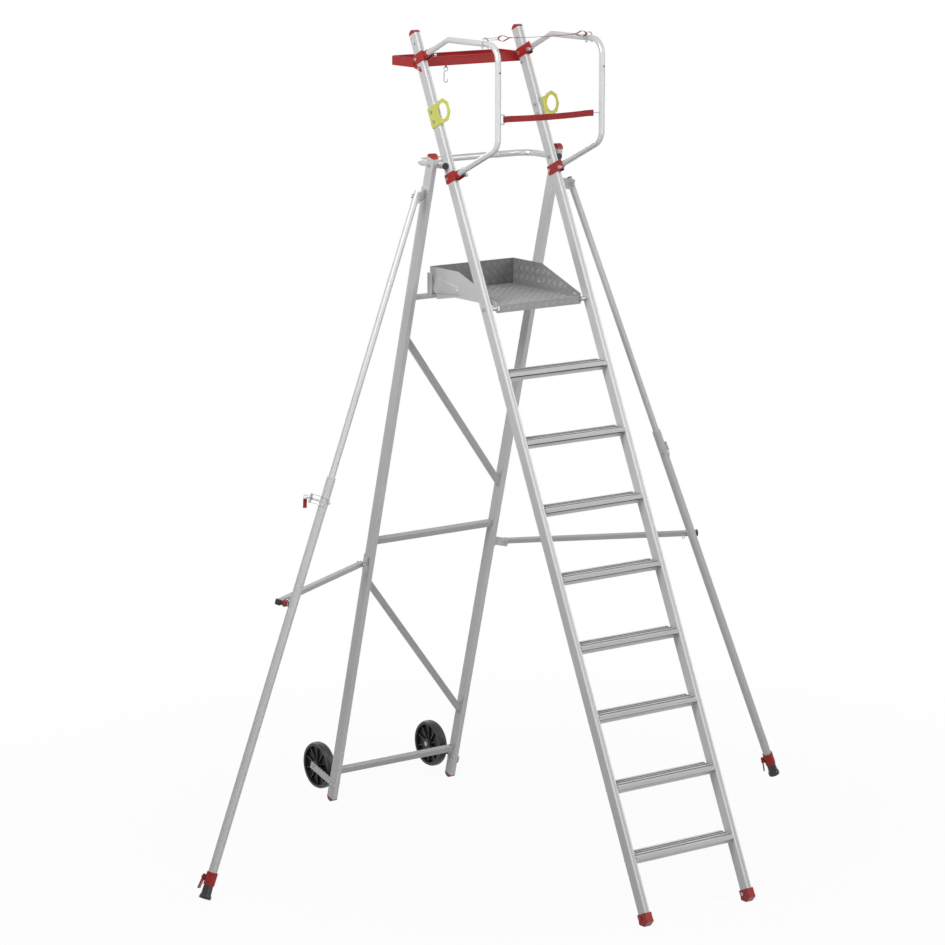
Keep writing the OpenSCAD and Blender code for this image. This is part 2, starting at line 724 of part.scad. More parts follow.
module hinge_pins() {
    color(steel) placed() both() translate([0, fold_y, fold_z]) {
        pin_x(stile_in - cut, leg_in + head_h, pin_r);
        pin_x(stile_in - head_h, stile_in, head_r + 1);
        pin_x(stile_out, arm_x - fold_r - face_gap, head_r + 1);
        pin_x(arm_x + fold_r + face_gap, leg_in + head_h, head_r + 1);
    }
}
module platform_pivots() {
    side = platform_w/2;
    color(steel) placed() both() translate([0, pivot_y, pivot_z]) {
        pin_x(side - platform_t - head_h, stile_out + cut, pin_r);
        pin_x(side + face_gap, stile_in, head_r + 2);
        pin_x(side - platform_t - face_gap - head_h, side - platform_t - face_gap, head_r);
        pin_x(stile_out, stile_out + head_h, head_r + 1);
    }
}

// Rear frame
module leg_bores() {
    translate([0, 0, fold_z/sin(leg_angle)]) pin_x(0, far, bolt_r);
    for (n = [-1, 1]) translate([0, n*leg_d/4, wheel_s]) pin_x(0, far, bolt_r);
}
module rear_leg(side) {
    color(alu) placed() left_right(side) on_leg() difference() {
        translate([leg_x, 0, leg_start]) box_tube(leg_w, leg_d, leg_wall, leg_round, leg_len - leg_start);
        leg_bores();
    }
}
module leg_solid() {
    on_leg() translate([leg_x, 0, 0]) linear_extrude(leg_len) rounded(leg_w, leg_d, leg_round);
}
module hinge_rail() {
    nose = fold_y - fold_nose;
    rear = fold_y + fold_back;
    color(alu) placed() translate([0, 0, fold_z]) difference() {
        bent_tube([[-arm_x, nose], [-arm_x, rear], [arm_x, rear], [arm_x, nose]],
            fold_bend, fold_r, fold_r - fold_wall);
        for (x = [-1, 1]) {
            translate([0, fold_y, 0]) pin_x(x*arm_x - 2*fold_r, x*arm_x + 2*fold_r, pin_r + pin_gap);
            translate([0, arm_bolt_y, 0]) pin_x(x*arm_x - 2*fold_r, x*arm_x + 2*fold_r, bolt_r);
        }
    }
}
module hinge_rail_plugs() {
    color(black) placed() both() translate([arm_x, fold_y - fold_nose, fold_z]) rotate([90, 0, 0]) {
        cylinder(h = fold_r/2, r = fold_r);
        translate([0, 0, -fold_nose/4]) cylinder(h = fold_nose/4, r = fold_r - fold_wall);
    }
}
module cross_tube(s, w) {
    color(alu) placed() on_leg() translate([-leg_in, 0, s]) rotate([0, 90, 0])
        box_tube(w, w, bar_wall, bar_wall, frame_w);
}
module crossbar_low() { cross_tube(low_s, bar); }
module crossbar_mid() { cross_tube(mid_s, bar); }
module platform_rest() { cross_tube(rest_s, rest_bar); }
module diagonal(s0, s1) {
    angle = atan2(s1 - s0, frame_w);
    length = norm([s1 - s0, frame_w]);
    intersection() {
        translate([-leg_in, 0, s0]) rotate([0, 90 - angle, 0]) translate([0, 0, -length/4])
            box_tube(bar, bar, bar_wall, bar_wall, length*1.5);
        translate([-leg_in, -bar, 0]) cube([frame_w, 2*bar, leg_len]);
    }
}
module diagonals() {
    color(alu) placed() on_leg() {
        diagonal(rest_s - diagonal_top, mid_s + diagonal_gap);
        diagonal(mid_s - diagonal_gap, low_s + diagonal_gap);
    }
}
module leg_caps() {
    color(red) placed() both() on_leg() {
        translate([leg_in, 0, leg_len]) along_x() linear_extrude(leg_w) cap_arch(leg_d);
        translate([leg_x, 0, leg_len - plug_in])
            linear_extrude(plug_in) tube_plug(leg_w, leg_d, leg_wall);
    }
}
module leg_plugs() {
    color(red) placed() both() on_leg() {
        translate([leg_in, 0, leg_start]) along_x() linear_extrude(leg_w) mirror([0, 1]) cap_arch(leg_d);
        translate([leg_x, 0, leg_start])
            linear_extrude(plug_in) tube_plug(leg_w, leg_d, leg_wall);
    }
}
module stabiliser_brackets() {
    front = stab_back - inner_r - face_gap;
    edge = head_r*2;
    h = stab_plate_h;
    color(alu) placed() both() difference() {
        union() {
            on_fold(stab_s) translate([0, front - bracket_t, -h/2]) cube([stab_out + edge, bracket_t, h]);
            on_leg() translate([leg_out, -leg_d/2, stab_s - h/2]) cube([bracket_t, leg_d, h]);
        }
        leg_solid();
        on_fold(stab_s) translate([stab_out, 0, 0]) rotate([90, 0, 0]) cylinder(h = far, r = pin_r, center = true);
    }
}
module brace_brackets() {
    h = brace_w*1.9;
    color(alu) placed() both() difference() {
        union() {
            on_fold(brace_s) translate([0, brace_back - brace_w/2 - brace_room - bracket_t, -h/2])
                cube([brace_out + brace_w/2, bracket_t, h]);
            on_leg() translate([leg_out, -leg_d/2, brace_s - h/2]) cube([bracket_t, leg_d, h]);
        }
        leg_solid();
        on_fold(brace_s) translate([brace_out, 0, 0]) rotate([90, 0, 0])
            cylinder(h = far, r = pin_r, center = true);
    }
}
module wheel_arms() {
    color(alu) placed() both() on_leg() difference() {
        translate([leg_out, -leg_d/2, wheel_s - arm_w/2]) cube([arm_t, leg_d/2 + wheel_n + arm_w/2, arm_w]);
        for (n = [-1, 1]) translate([0, n*leg_d/4, wheel_s]) pin_x(0, far, bolt_r);
        translate([0, wheel_n, wheel_s]) pin_x(0, far, pin_r);
    }
}
module frame_bolts() {
    front = stab_back - inner_r - face_gap - bracket_t;
    rear = stab_back + inner_r + face_gap;
    gap = brace_w/2 + brace_room;
    hub = wheel_x - wheel_w/2 - face_gap;
    color(steel) placed() both() {
        translate([0, arm_bolt_y, fold_z]) {
            bolt_x(arm_x - fold_r, leg_out);
            pin_x(arm_x + fold_r, leg_in, head_r);
        }
        on_leg() for (n = [-1, 1]) translate([0, n*leg_d/4, wheel_s]) bolt_x(leg_in, leg_out + arm_t);
        on_leg() translate([0, wheel_n, wheel_s]) {
            pin_x(hub - cut, leg_out + arm_t + cut, pin_r);
            pin_x(hub - head_h*2, hub, head_r*1.5);
            pin_x(wheel_x + wheel_w/2 + face_gap, leg_out, head_r*1.5);
            pin_x(leg_out + arm_t, leg_out + arm_t + head_h, head_r);
        }
        on_fold(stab_s) translate([stab_out, 0, 0]) bolt_y(front, rear, pin_r);
        on_fold(brace_s) translate([brace_out, brace_back, 0]) bolt_y(-gap - bracket_t, gap, pin_r);
    }
}
module platform_posts() {
    w = bar;
    foot_z = platform_z - bar;
    color(steel) placed() both() {
        difference() {
            translate([post_x, stud_y - w/2, foot_z]) cube([post_t, w, stud_z + w - foot_z]);
            on_leg() translate([-far/2, -rest_bar/2, rest_s - rest_bar/2]) cube([far, rest_bar, rest_bar]);
            translate([0, stud_y - w, 0]) cube([far, far, lg_z(rest_s, 0)]);
        }
        translate([0, stud_y, stud_z]) {
            pin_x(platform_w/2 + face_gap, post_x, stud_r);
            pin_x(post_x + post_t, post_x + post_t + head_h, head_r);
        }
    }
}

// Platform
module platform_side() {
    difference() {
        union() {
            polygon([[front_y, platform_z - platform_t], [front_y + platform_d, platform_z - platform_t],
                [front_y + platform_d, platform_z + wall_h],
                [front_y + platform_d - wall_flat, platform_z + wall_h],
                [front_y, platform_z + platform_t*4]]);
            polygon([[front_y + platform_d*0.62, platform_z - platform_t],
                [stud_y - bar, platform_z - bar],
                [stud_y - bar, platform_z - platform_t]]);
            translate([pivot_y, pivot_z]) circle(pin_r*2.6);
        }
        translate([pivot_y, pivot_z]) circle(pin_r + pin_gap);
    }
}
module platform_deck() {
    side = platform_w/2;
    color(plate) placed() {
        both() translate([side - platform_t, 0, 0]) along_x() linear_extrude(platform_t) platform_side();
        translate([-side, front_y, platform_z - platform_t]) cube([platform_w, platform_d, platform_t]);
        translate([-side, front_y + platform_d - platform_t, platform_z - platform_t])
            cube([platform_w, platform_t, wall_h + platform_t]);
        difference() {
            translate([-side, front_y, platform_z - lip_h]) cube([platform_w, platform_t, lip_h]);
            both() translate([0, pivot_y, pivot_z]) pin_x(side - platform_t - head_h*3, far, pin_r*2.2);
        }
    }
}
module platform_hooks() {
    slot = stud_r + 2;
    rear = stud_y + slot*2;
    low = platform_z - platform_t;
    color(alu) placed() both() translate([platform_w/2, 0, 0]) along_x() linear_extrude(hook_t) difference() {
        polygon([[rear, low], [rear, stud_z + slot*2], [front_y + platform_d*0.55, platform_z + bar*1.5],
            [front_y + platform_d*0.55, platform_z + platform_t*4]]);
        translate([stud_y, stud_z]) circle(stud_r + face_gap);
        translate([stud_y, stud_z]) rotate(-slot_angle) translate([-slot, -stud_up*2])
            square([slot + stud_r + face_gap, stud_up*2]);
    }
}

// Wheels
module wheel(side) {
    hub = head_r*3;
    rim = wheel_r*0.84;
    web = wheel_w/6;
    rib = wheel_w/8;
    deep = wheel_w*0.7;
    color(black) placed() left_right(side) translate([wheel_x, wheel_y, wheel_z]) rotate([0, 90, 0]) difference() {
        union() {
            rotate_extrude() polygon([[rim, -wheel_w/2], [wheel_r*0.95, -wheel_w/2], [wheel_r, -wheel_w/4],
                [wheel_r, wheel_w/4], [wheel_r*0.95, wheel_w/2], [rim, wheel_w/2]]);
            cylinder(h = wheel_w, r = hub, center = true);
            cylinder(h = web, r = rim + web, center = true);
            for (k = [0:ribs - 1]) rotate(k*360/ribs) translate([hub/2, -rib/2, -deep/2])
                cube([rim - hub/2 + rib/2, rib, deep]);
        }
        cylinder(h = far, r = pin_r + pin_gap, center = true);
    }
}

// Stabilisers
module inner_tube(side) {
    low = lock_at + slide_down + outer_r*3;
    color(alu) placed() left_right(side) on_stab() difference() {
        translate([0, 0, -low]) tube(low + head_r*3.5, inner_r, inner_r - tube_wall);
        rotate([90, 0, 0]) cylinder(h = far, r = pin_r + pin_gap, center = true);
        for (z = [-lock_at + slide_up, -lock_at - slide_down])
            translate([0, 0, z]) rotate([90, 0, 0]) cylinder(h = far, r = lock_r + tube_gap, center = true);
        translate([-lock_r - tube_gap, -outer_r, -lock_at - slide_down])
            cube([2*(lock_r + tube_gap), outer_r*2, slide_up + slide_down]);
    }
}
module outer_tube(side) {
    color(alu) placed() left_right(side) on_stab() difference() {
        translate([0, 0, -collar_at - collar_h]) linear_extrude(collar_at + collar_h - outer_top) difference() {
            circle(outer_r);
            circle(tube_bore);
            for (k = [0:flutes - 1]) rotate((k + 0.5)*360/flutes) translate([outer_r + flute_r/2, 0]) circle(flute_r);
        }
        translate([0, 0, -lock_at]) rotate([90, 0, 0]) cylinder(h = far, r = lock_r + pin_gap, center = true);
    }
}
module on_collar(side) {
    left_right(side) on_stab() translate([0, 0, -collar_at - collar_h])
        rotate(side < 0 ? lever_turn_left : lever_turn_right) children();
}
module collar(side) {
    lug = pin_r*2.4;
    color(red) placed() on_collar(side) {
        difference() {
            union() {
                cylinder(h = collar_h, r = collar_r);
                translate([0, -lug/2, collar_h/2 - lug]) cube([collar_r + lug, lug, lug*2]);
            }
            translate([0, 0, -cut]) cylinder(h = far, r = outer_r);
        }
        translate([collar_r + lug*0.6, 0, collar_h/2]) rotate([90, 0, 0])
            cylinder(h = lug*2 + 2*cut, r = pin_r/2, center = true);
    }
}
module collar_lever(side) {
    lug = pin_r*2.4;
    arm = lug*0.55;
    wide = 2*(lug + face_gap);
    color(red) placed() on_collar(side)
        translate([collar_r + lug*0.6, 0, collar_h/2]) rotate([0, -lever_lean, 0]) difference() {
            union() {
                for (y = [-1, 1]) translate([0, y*(lug/2 + face_gap + lug/4), 0]) {
                    rotate([90, 0, 0]) cylinder(h = lug/2, r = arm, center = true);
                    translate([-lever_t/2, -lug/4, -lug*1.8]) cube([lever_t, lug/2, lug*1.8]);
                }
                translate([-lever_t/2, -wide/2, -lever_len]) cube([lever_t, wide, lever_len - lug*1.5]);
            }
            rotate([90, 0, 0]) cylinder(h = far, r = pin_r/2 + pin_gap, center = true);
        }
}
module stabiliser_foot(side) {
    in = foot_len + collar_h + plug_in;
    top = foot_len - face_gap;
    color(black) placed() left_right(side) on_stab() translate([0, 0, -foot_at]) rotate_extrude()
        polygon([[0, 0], [foot_r, 0], [foot_r, foot_r/2], [neck_r + 2, foot_r*0.7],
            [neck_r, top], [inner_r, top], [inner_r, in], [0, in]]);
}
module lock_pin(side) {
    head = lock_head;
    tall = lock_wing;
    far_side = -outer_r - wire_r*3;
    off = outer_r + wire_r + face_gap;
    color(steel) placed() left_right(side) on_stab() translate([0, 0, -lock_at]) {
        translate([0, far_side, 0]) rotate([-90, 0, 0]) cylinder(h = head - far_side, r = lock_r);
        translate([-wire_r, head - wire_r, -tall]) cube([off + wire_r, wire_r*2, 2*tall]);
        for (z = [-tall + wire_r, tall - wire_r]) translate([off, far_side, z]) rotate([-90, 0, 0])
            cylinder(h = head - far_side, r = wire_r/2);
        translate([off, far_side, -tall + wire_r]) cylinder(h = 2*(tall - wire_r), r = wire_r/2);
        translate([0, head, 0]) rotate([-90, 0, 0]) cylinder(h = lock_tail, r = lock_r);
        translate([0, head + lock_tail, 0]) rotate([0, 90, 0]) rotate_extrude()
            translate([lock_r*2, 0]) circle(wire_r*0.6);
    }
}
module brace(side) {
    pad = 22;
    color(alu) placed() left_right(side) {
        on_brace() difference() {
            translate([-brace_w/2, 0, 0]) rotate([0, 90, 0])
                box_tube(brace_w, brace_w, bar_wall, bar_wall, brace_len + brace_w/2 - brace_cap);
            rotate([0, 0, -brace_sweep]) rotate([90, 0, 0])
                cylinder(h = far, r = pin_r + pin_gap, center = true);
            translate([cross_at - brace_pin_in, 0, 0]) rotate([90, 0, 0])
                cylinder(h = far, r = lock_r + pin_gap, center = true);
        }
        difference() {
            intersection() {
                on_brace() translate([cross_at - pad/2, -far/2, -brace_w/2]) cube([pad, far, brace_w]);
                on_fold(brace_s) translate([0, pad_back, -far/2]) cube([far, far, far]);
            }
            on_brace() translate([0, -brace_w/2, -far/2]) cube([far, far, far]);
        }
        on_brace() translate([brace_len - brace_cap, -brace_w/2, -brace_w/2]) cube([brace_cap, brace_w, brace_w]);
    }
}
module brace_pin(side) {
    color(steel) placed() left_right(side) on_brace() translate([cross_at - brace_pin_in, 0, 0]) {
        translate([0, -brace_w/2 - head_h, 0]) rotate([-90, 0, 0]) cylinder(h = brace_w + head_h*3, r = lock_r);
        translate([0, -brace_w/2 - face_gap - head_h*1.5, 0]) rotate([-90, 0, 0])
            cylinder(h = head_h*1.5, r = head_r);
        translate([0, -brace_w/2 - head_h, -head_r - lock_r]) rotate([90, 0, 0]) rotate_extrude()
            translate([lock_r*1.5, 0]) circle(wire_r*0.6);
    }
}

stile(-1);  // stile_left
stile(1);  // stile_right
tread_1();
tread_2();
tread_3();
tread_4();
tread_5();
tread_6();
tread_7();
tread_8();
ladder_feet();
stile_caps();
tool_tray();
tray_hook();
guard_rail(-1);  // guard_rail_left
guard_rail(1);  // guard_rail_right
rail_brackets();
ladder_bolts();
anchor_plates();
strap_hardware();
strap_upper();
strap_lower();
hinge_pins();
platform_pivots();
rear_leg(-1);  // rear_leg_left
rear_leg(1);  // rear_leg_right
hinge_rail();
hinge_rail_plugs();
crossbar_low();
crossbar_mid();
platform_rest();
diagonals();
leg_caps();
leg_plugs();
stabiliser_brackets();
brace_brackets();
wheel_arms();
frame_bolts();
platform_posts();
platform_deck();
platform_hooks();
wheel(-1);  // wheel_left
wheel(1);  // wheel_right
inner_tube(-1);  // inner_tube_left
inner_tube(1);  // inner_tube_right
outer_tube(-1);  // outer_tube_left
outer_tube(1);  // outer_tube_right
collar(-1);  // collar_left
collar(1);  // collar_right
collar_lever(-1);  // collar_lever_left
collar_lever(1);  // collar_lever_right
stabiliser_foot(-1);  // stabiliser_foot_left
stabiliser_foot(1);  // stabiliser_foot_right
lock_pin(-1);  // lock_pin_left
lock_pin(1);  // lock_pin_right
brace(-1);  // brace_left
brace(1);  // brace_right
brace_pin(-1);  // brace_pin_left
brace_pin(1);  // brace_pin_right
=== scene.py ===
# %% [markdown]
# # Dressing a podium step
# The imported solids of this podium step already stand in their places, in metres.
# This lesson keeps every solid but the two straps, and adds what solids leave out: the
# finishes, the red webbing, the raised bars of the platform plate and the small trims.
# Loading the frame comes first, because every later piece is placed against it.

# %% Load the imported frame
import json
import math

import bpy
import numpy as np
from mathutils import Matrix, Vector


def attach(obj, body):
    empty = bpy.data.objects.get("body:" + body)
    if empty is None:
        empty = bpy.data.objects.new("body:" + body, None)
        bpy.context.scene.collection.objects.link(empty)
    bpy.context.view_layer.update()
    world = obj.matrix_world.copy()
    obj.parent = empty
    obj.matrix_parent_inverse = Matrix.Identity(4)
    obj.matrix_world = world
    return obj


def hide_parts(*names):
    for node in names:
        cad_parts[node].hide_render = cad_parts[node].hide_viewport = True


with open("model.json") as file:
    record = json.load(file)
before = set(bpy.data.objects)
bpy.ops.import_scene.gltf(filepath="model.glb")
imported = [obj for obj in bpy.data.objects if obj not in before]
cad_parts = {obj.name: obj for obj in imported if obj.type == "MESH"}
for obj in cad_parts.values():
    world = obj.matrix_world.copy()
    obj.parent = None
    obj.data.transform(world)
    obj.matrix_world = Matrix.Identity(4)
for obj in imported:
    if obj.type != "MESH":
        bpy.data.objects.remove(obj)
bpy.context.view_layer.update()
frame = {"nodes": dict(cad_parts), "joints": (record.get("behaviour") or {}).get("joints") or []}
joints = {j["name"]: j for j in frame["joints"]}

# %% [markdown]
# ## The camera
# The photograph was taken from the front left, about a metre above the guard rails, with
# a long lens. A camera could be placed by eye, but this one was worked out from the
# straight edges of treads, stiles and legs, so its values are simply set here, with no
# shift and no blur.

# %% Camera
CAMERA_AT = (-8.4080, -11.2342, 4.4244)
CAMERA_TURN = (78.378, 0.0, -35.986)
LENS_MM = 136.47
SENSOR_MM = 36.0
VIEW_END = 200.0

scene = bpy.context.scene
lens = bpy.data.cameras.new("front_left")
lens.sensor_width = SENSOR_MM
lens.lens = LENS_MM
lens.clip_end = VIEW_END
camera = bpy.data.objects.new("front_left", lens)
camera.location = CAMERA_AT
camera.rotation_euler = [math.radians(a) for a in CAMERA_TURN]
scene.collection.objects.link(camera)
scene.camera = camera
scene.view_settings.view_transform = "Standard"
print("camera", CAMERA_AT, "lens", LENS_MM, "mm")

# %% [markdown]
# ## Meshes from whole arrays
# A new piece is a grid of points: a function of two parameters, or a profile carried
# along a path. It could be pulled out face by face in a mesh editor, but numpy works out
# all the points at once, and the formula can be read and changed. One helper writes them
# into a mesh. Grids that close on themselves are wrapped, and open ends get a flat cap,
# so each piece is a closed skin.

# %% Grid helpers
SHARP_ANGLE = math.radians(35)


def grid_faces(nu, nv, wrap_u, wrap_v):
    """Quads of a grid: cell (i, j) joins its four corners, and a wrapped side goes back to 0."""
    rows, columns = np.arange(nu if wrap_u else nu - 1), np.arange(nv if wrap_v else nv - 1)
    i, j = np.meshgrid(rows, columns, indexing="ij")
    a, b = (i + 1) % nu, (j + 1) % nv
    return np.stack([i * nv + j, a * nv + j, a * nv + b, i * nv + b], -1).reshape(-1, 4)


def grid_mesh(name, shells, uv=None):
    """One mesh from shells (points, wrap_u, wrap_v); points may hold many equal copies of a grid.
    A grid that wraps only the second way is a tube, and both its ends are closed by a polygon."""
    verts, faces, start = [], [], 0
    for points, wrap_u, wrap_v in shells:
        copies = points if points.ndim == 4 else points[None]
        count, nu, nv = copies.shape[:3]
        offset = start + np.arange(count)[:, None, None] * nu * nv
        verts.append(copies.reshape(-1, 3))
        faces += (grid_faces(nu, nv, wrap_u, wrap_v)[None] + offset).reshape(-1, 4).tolist()
        if wrap_v and not wrap_u:
            ends = np.stack([np.arange(nv)[::-1], np.arange(nv) + (nu - 1) * nv])
            faces += (ends[None] + offset).reshape(-1, nv).tolist()
        start += count * nu * nv
    mesh = bpy.data.meshes.new(name)
    mesh.from_pydata(np.concatenate(verts).tolist(), [], faces)
    mesh.polygons.foreach_set("use_smooth", np.ones(len(mesh.polygons), bool))
    mesh.set_sharp_from_angle(angle=SHARP_ANGLE)
    if uv is not None:
        corner = np.empty(len(mesh.loops), np.int32)
        mesh.loops.foreach_get("vertex_index", corner)
        layer = mesh.uv_layers.new(name="weave")
        layer.uv.foreach_set("vector", uv[corner].astype(np.float32).ravel())
    mesh.update()
    return mesh


def add_piece(name, shells, body, finish, uv=None):
    """Links a finished mesh as a piece that rides on a body and takes the slot's finish."""
    piece = bpy.data.objects.new(name, grid_mesh(name, shells, uv))
    scene.collection.objects.link(piece)
    piece.data.materials.append(finish)
    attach(piece, body)
    print(f"{name}: {len(piece.data.polygons)} faces on {body}")
    return piece


def tubes(grids):
    """Shells of open tubes, whose ends get a cap."""
    return [(grid, False, True) for grid in grids]


def rings(grids):
    """Shells of tubes that come back to their own start."""
    return [(grid, True, True) for grid in grids]


# %% Profiles and paths
EASE = 0.35
ASKEW = (0.31, 0.52, 0.79)


def circle(radius, count=16):
    """Points round a circle, as pairs."""
    a = np.linspace(0, 2 * np.pi, count, endpoint=False)
    return radius * np.stack([np.cos(a), np.sin(a)], -1)


def eased(pairs, power):
    """Cosine and sine raised to a small power, sign kept: a circle becomes a square with soft corners."""
    return np.sign(pairs) * np.abs(pairs) ** power


def soft_box(width, height, power=EASE, count=20):
    """A rectangle with eased corners: the eased circle times half of each side."""
    return eased(circle(1.0, count), power) * np.array([width, height]) / 2


def unit(v):
    """Vectors divided by their own length."""
    return v / np.linalg.norm(v, axis=-1, keepdims=True)


def sweep(path, up, profile, closed=False):
    """A profile carried along a path: point (a, b) lies a along the side and b along up,
    where up is made square to the path and the side is the cross product of both."""
    path = np.asarray(path, float)
    ahead = np.roll(path, -1, 0) - np.roll(path, 1, 0) if closed else np.gradient(path, axis=0)
    ahead = unit(ahead)
    up = np.broadcast_to(np.asarray(up, float), path.shape)
    up = unit(up - (ahead * up).sum(-1, keepdims=True) * ahead)
    side = np.cross(up, ahead)
    profile = profile if profile.ndim == 3 else profile[None]
    return path[:, None] + profile[..., :1] * side[:, None] + profile[..., 1:] * up[:, None]


def smooth_path(knots, steps):
    """A curve through its knots: between two of them a cubic with the slope of their neighbours."""
    k = np.asarray(knots, float)
    k = np.vstack([2 * k[0] - k[1], k, 2 * k[-1] - k[-2]])
    t = np.linspace(0, 1, steps, endpoint=False)[:, None]
    a, b, c, d = k[:-3, None], k[1:-2, None], k[2:-1, None], k[3:, None]
    cubic = 2 * b + (c - a) * t + (2 * a - 5 * b + 4 * c - d) * t**2 + (3 * b - a - 3 * c + d) * t**3
    return np.vstack([cubic.reshape(-1, 3) / 2, k[-2:-1]])


def revolve(profile, base, axis, count=20):
    """A profile of (radius, height) pairs turned about an axis that starts at base. The first
    spoke is square to the axis and to ASKEW, which lies along no axis used here."""
    axis = unit(np.asarray(axis, float))
    side = unit(np.cross(axis, ASKEW))
    across = np.cross(axis, side)
    ring = circle(1.0, count)
    spoke = ring[:, :1] * side + ring[:, 1:] * across
    profile = np.asarray(profile, float)
    return np.asarray(base) + profile[:, None, :1] * spoke[None] + profile[:, None, 1:] * axis


print("helpers ready: grids, sweeps, smooth paths and turned profiles")

# %% [markdown]
# ## Where things are
# The ladder leans one way and the rear legs the other. The drawing measures y from the
# foot of the stiles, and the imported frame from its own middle, which is MIDDLE_Y further
# back. One small function gives a point by its distance up a stile, and another by its
# distance down a stabiliser tube, whose directions the frame's joints already hold.

# %% Places on the ladder, the legs and the stabilisers
LADDER_LEAN = math.radians(65.1)
LEG_LEAN = math.radians(75.0)
MIDDLE_Y = 1.132986
LEG_FOOT_Y = 2.070814 - MIDDLE_Y
STILE_X, STILE_OUT, STILE_IN = 0.2525, 0.265, 0.24
LEG_IN = 0.295
RAIL_Y, RAIL_R = 0.962681 - MIDDLE_Y, 0.0115
STILE_UP = np.array([0, math.cos(LADDER_LEAN), math.sin(LADDER_LEAN)])
LEG_UP = np.array([0, -math.cos(LEG_LEAN), math.sin(LEG_LEAN)])
LEG_BACK = np.array([0, math.sin(LEG_LEAN), math.cos(LEG_LEAN)])
SIDES = (("left", -1), ("right", 1))


def on_stile(x, s):
    """The point at x, a distance s up the centre line of a stile."""
    return np.array([x, -MIDDLE_Y, 0]) + s * STILE_UP


def tube_place(side, down, back):
    """A point of a stabiliser: so far down its tube from the pivot and so far behind it."""
    pivot = np.array(joints[f"stabiliser_{side}_fold"]["pos_m"])
    along = np.array(joints[f"extension_{side}_slide"]["axis"])
    rear = np.array(joints[f"lock_pin_{side}_pull"]["axis"])
    return pivot + down * along + back * rear, along, rear


for side, _ in SIDES:
    print(side, "stabiliser runs along", np.round(tube_place(side, 0, 0)[1], 3))

# %% [markdown]
# ## Finishes
# All the finishes share one recipe. Noise is read on the piece's own coordinates, turned
# so that its grain lies along the metal. It moves the colour between two tones and the
# roughness between two values, and lifts a fine bump. Drawn aluminium gets long streaks,
# powder coat gets an orange-peel bump, rubber a fine dust. Pictures could give the same,
# but a recipe needs no files and stays sharp at any distance.

# %% Shader nodes in one line each
NO_TURN = (0.0, 0.0, 0.0)
NOISE_LOW, NOISE_HIGH, NOISE_ROUGH = 0.3, 0.7, 0.6
FINE_DETAIL, BROAD_DETAIL, BROAD = 4.0, 2.0, 0.35


def node(tree, kind, **values):
    """A shader node with some of its inputs set."""
    made = tree.nodes.new(kind)
    for key, value in values.items():
        made.inputs[key].default_value = value
    return made


def math_step(tree, kind, *values):
    """One Math node; a plain number is set on its socket."""
    made = tree.nodes.new("ShaderNodeMath")
    made.operation = kind
    for socket, value in zip(made.inputs, values):
        if isinstance(value, float):
            socket.default_value = value
        else:
            tree.links.new(value, socket)
    return made.outputs[0]


def even_grain(size):
    """The same feature size along all three axes."""
    return (size, size, size)


def noise_on(tree, turn, size, detail=FINE_DETAIL):
    """Noise on Object coordinates, un-turned and divided by a feature size for each axis."""
    place = tree.nodes.new("ShaderNodeTexCoord")
    fit = node(tree, "ShaderNodeMapping", Rotation=turn, Scale=size)
    fit.vector_type = "TEXTURE"
    noise = node(tree, "ShaderNodeTexNoise", Scale=1.0, Detail=detail, Roughness=NOISE_ROUGH)
    tree.links.new(place.outputs["Object"], fit.inputs["Vector"])
    tree.links.new(fit.outputs["Vector"], noise.inputs["Vector"])
    return noise.outputs["Fac"]


def blend(tree, share, low, high):
    """A colour that goes from low to high with the share."""
    mix = tree.nodes.new("ShaderNodeMix")
    mix.data_type = "RGBA"
    for socket, value in ((mix.inputs[6], low), (mix.inputs[7], high)):
        if isinstance(value, tuple):
            socket.default_value = (*value, 1.0)
        else:
            tree.links.new(value, socket)
    tree.links.new(share, mix.inputs["Factor"])
    return mix.outputs[2]


def ramp(tree, share, start, stop, low, high):
    """A Map Range node: from low to high while the share goes from start to stop."""
    limits = {"From Min": start, "From Max": stop, "To Min": low, "To Max": high}
    fit = node(tree, "ShaderNodeMapRange", **limits)
    tree.links.new(share, fit.inputs["Value"])
    return fit


def span(tree, share, low, high):
    """A number that goes from low to high with a noise, which lies mostly from 0.3 to 0.7."""
    return ramp(tree, share, NOISE_LOW, NOISE_HIGH, low, high).outputs["Result"]


def lift_bump(tree, shader, height, strength, lift):
    """A bump on the shader that stands as high as lift where the height is 1."""
    bump = node(tree, "ShaderNodeBump", Strength=strength, Distance=lift)
    tree.links.new(height, bump.inputs["Height"])
    tree.links.new(bump.outputs["Normal"], shader.inputs["Normal"])


# %% The shared recipe
BUMP_STRENGTH = 0.6


def new_finish(name):
    """An empty finish, with its node tree and its shader."""
    made = bpy.data.materials.new(name)
    made.use_nodes = True
    return made, made.node_tree, made.node_tree.nodes["Principled BSDF"]


def make_finish(name, tones, rough, size, lift, metallic=0.0, turn=NO_TURN, **fixed):
    """Roughness between two values and a bump from a fine noise; colour between two tones from
    the mean of that noise and a broad one."""
    made, tree, shader = new_finish(name)
    shader.inputs["Metallic"].default_value = metallic
    for key, value in fixed.items():
        shader.inputs[key.replace("_", " ")].default_value = value
    fine = noise_on(tree, turn, size)
    broad = noise_on(tree, NO_TURN, even_grain(BROAD), BROAD_DETAIL)
    mean = math_step(tree, "MULTIPLY_ADD", fine, 0.5, math_step(tree, "MULTIPLY", broad, 0.5))
    tree.links.new(blend(tree, span(tree, mean, 0.0, 1.0), *tones), shader.inputs["Base Color"])
    tree.links.new(span(tree, fine, *rough), shader.inputs["Roughness"])
    lift_bump(tree, shader, fine, BUMP_STRENGTH, lift)
    return made


print("one recipe for all finishes")

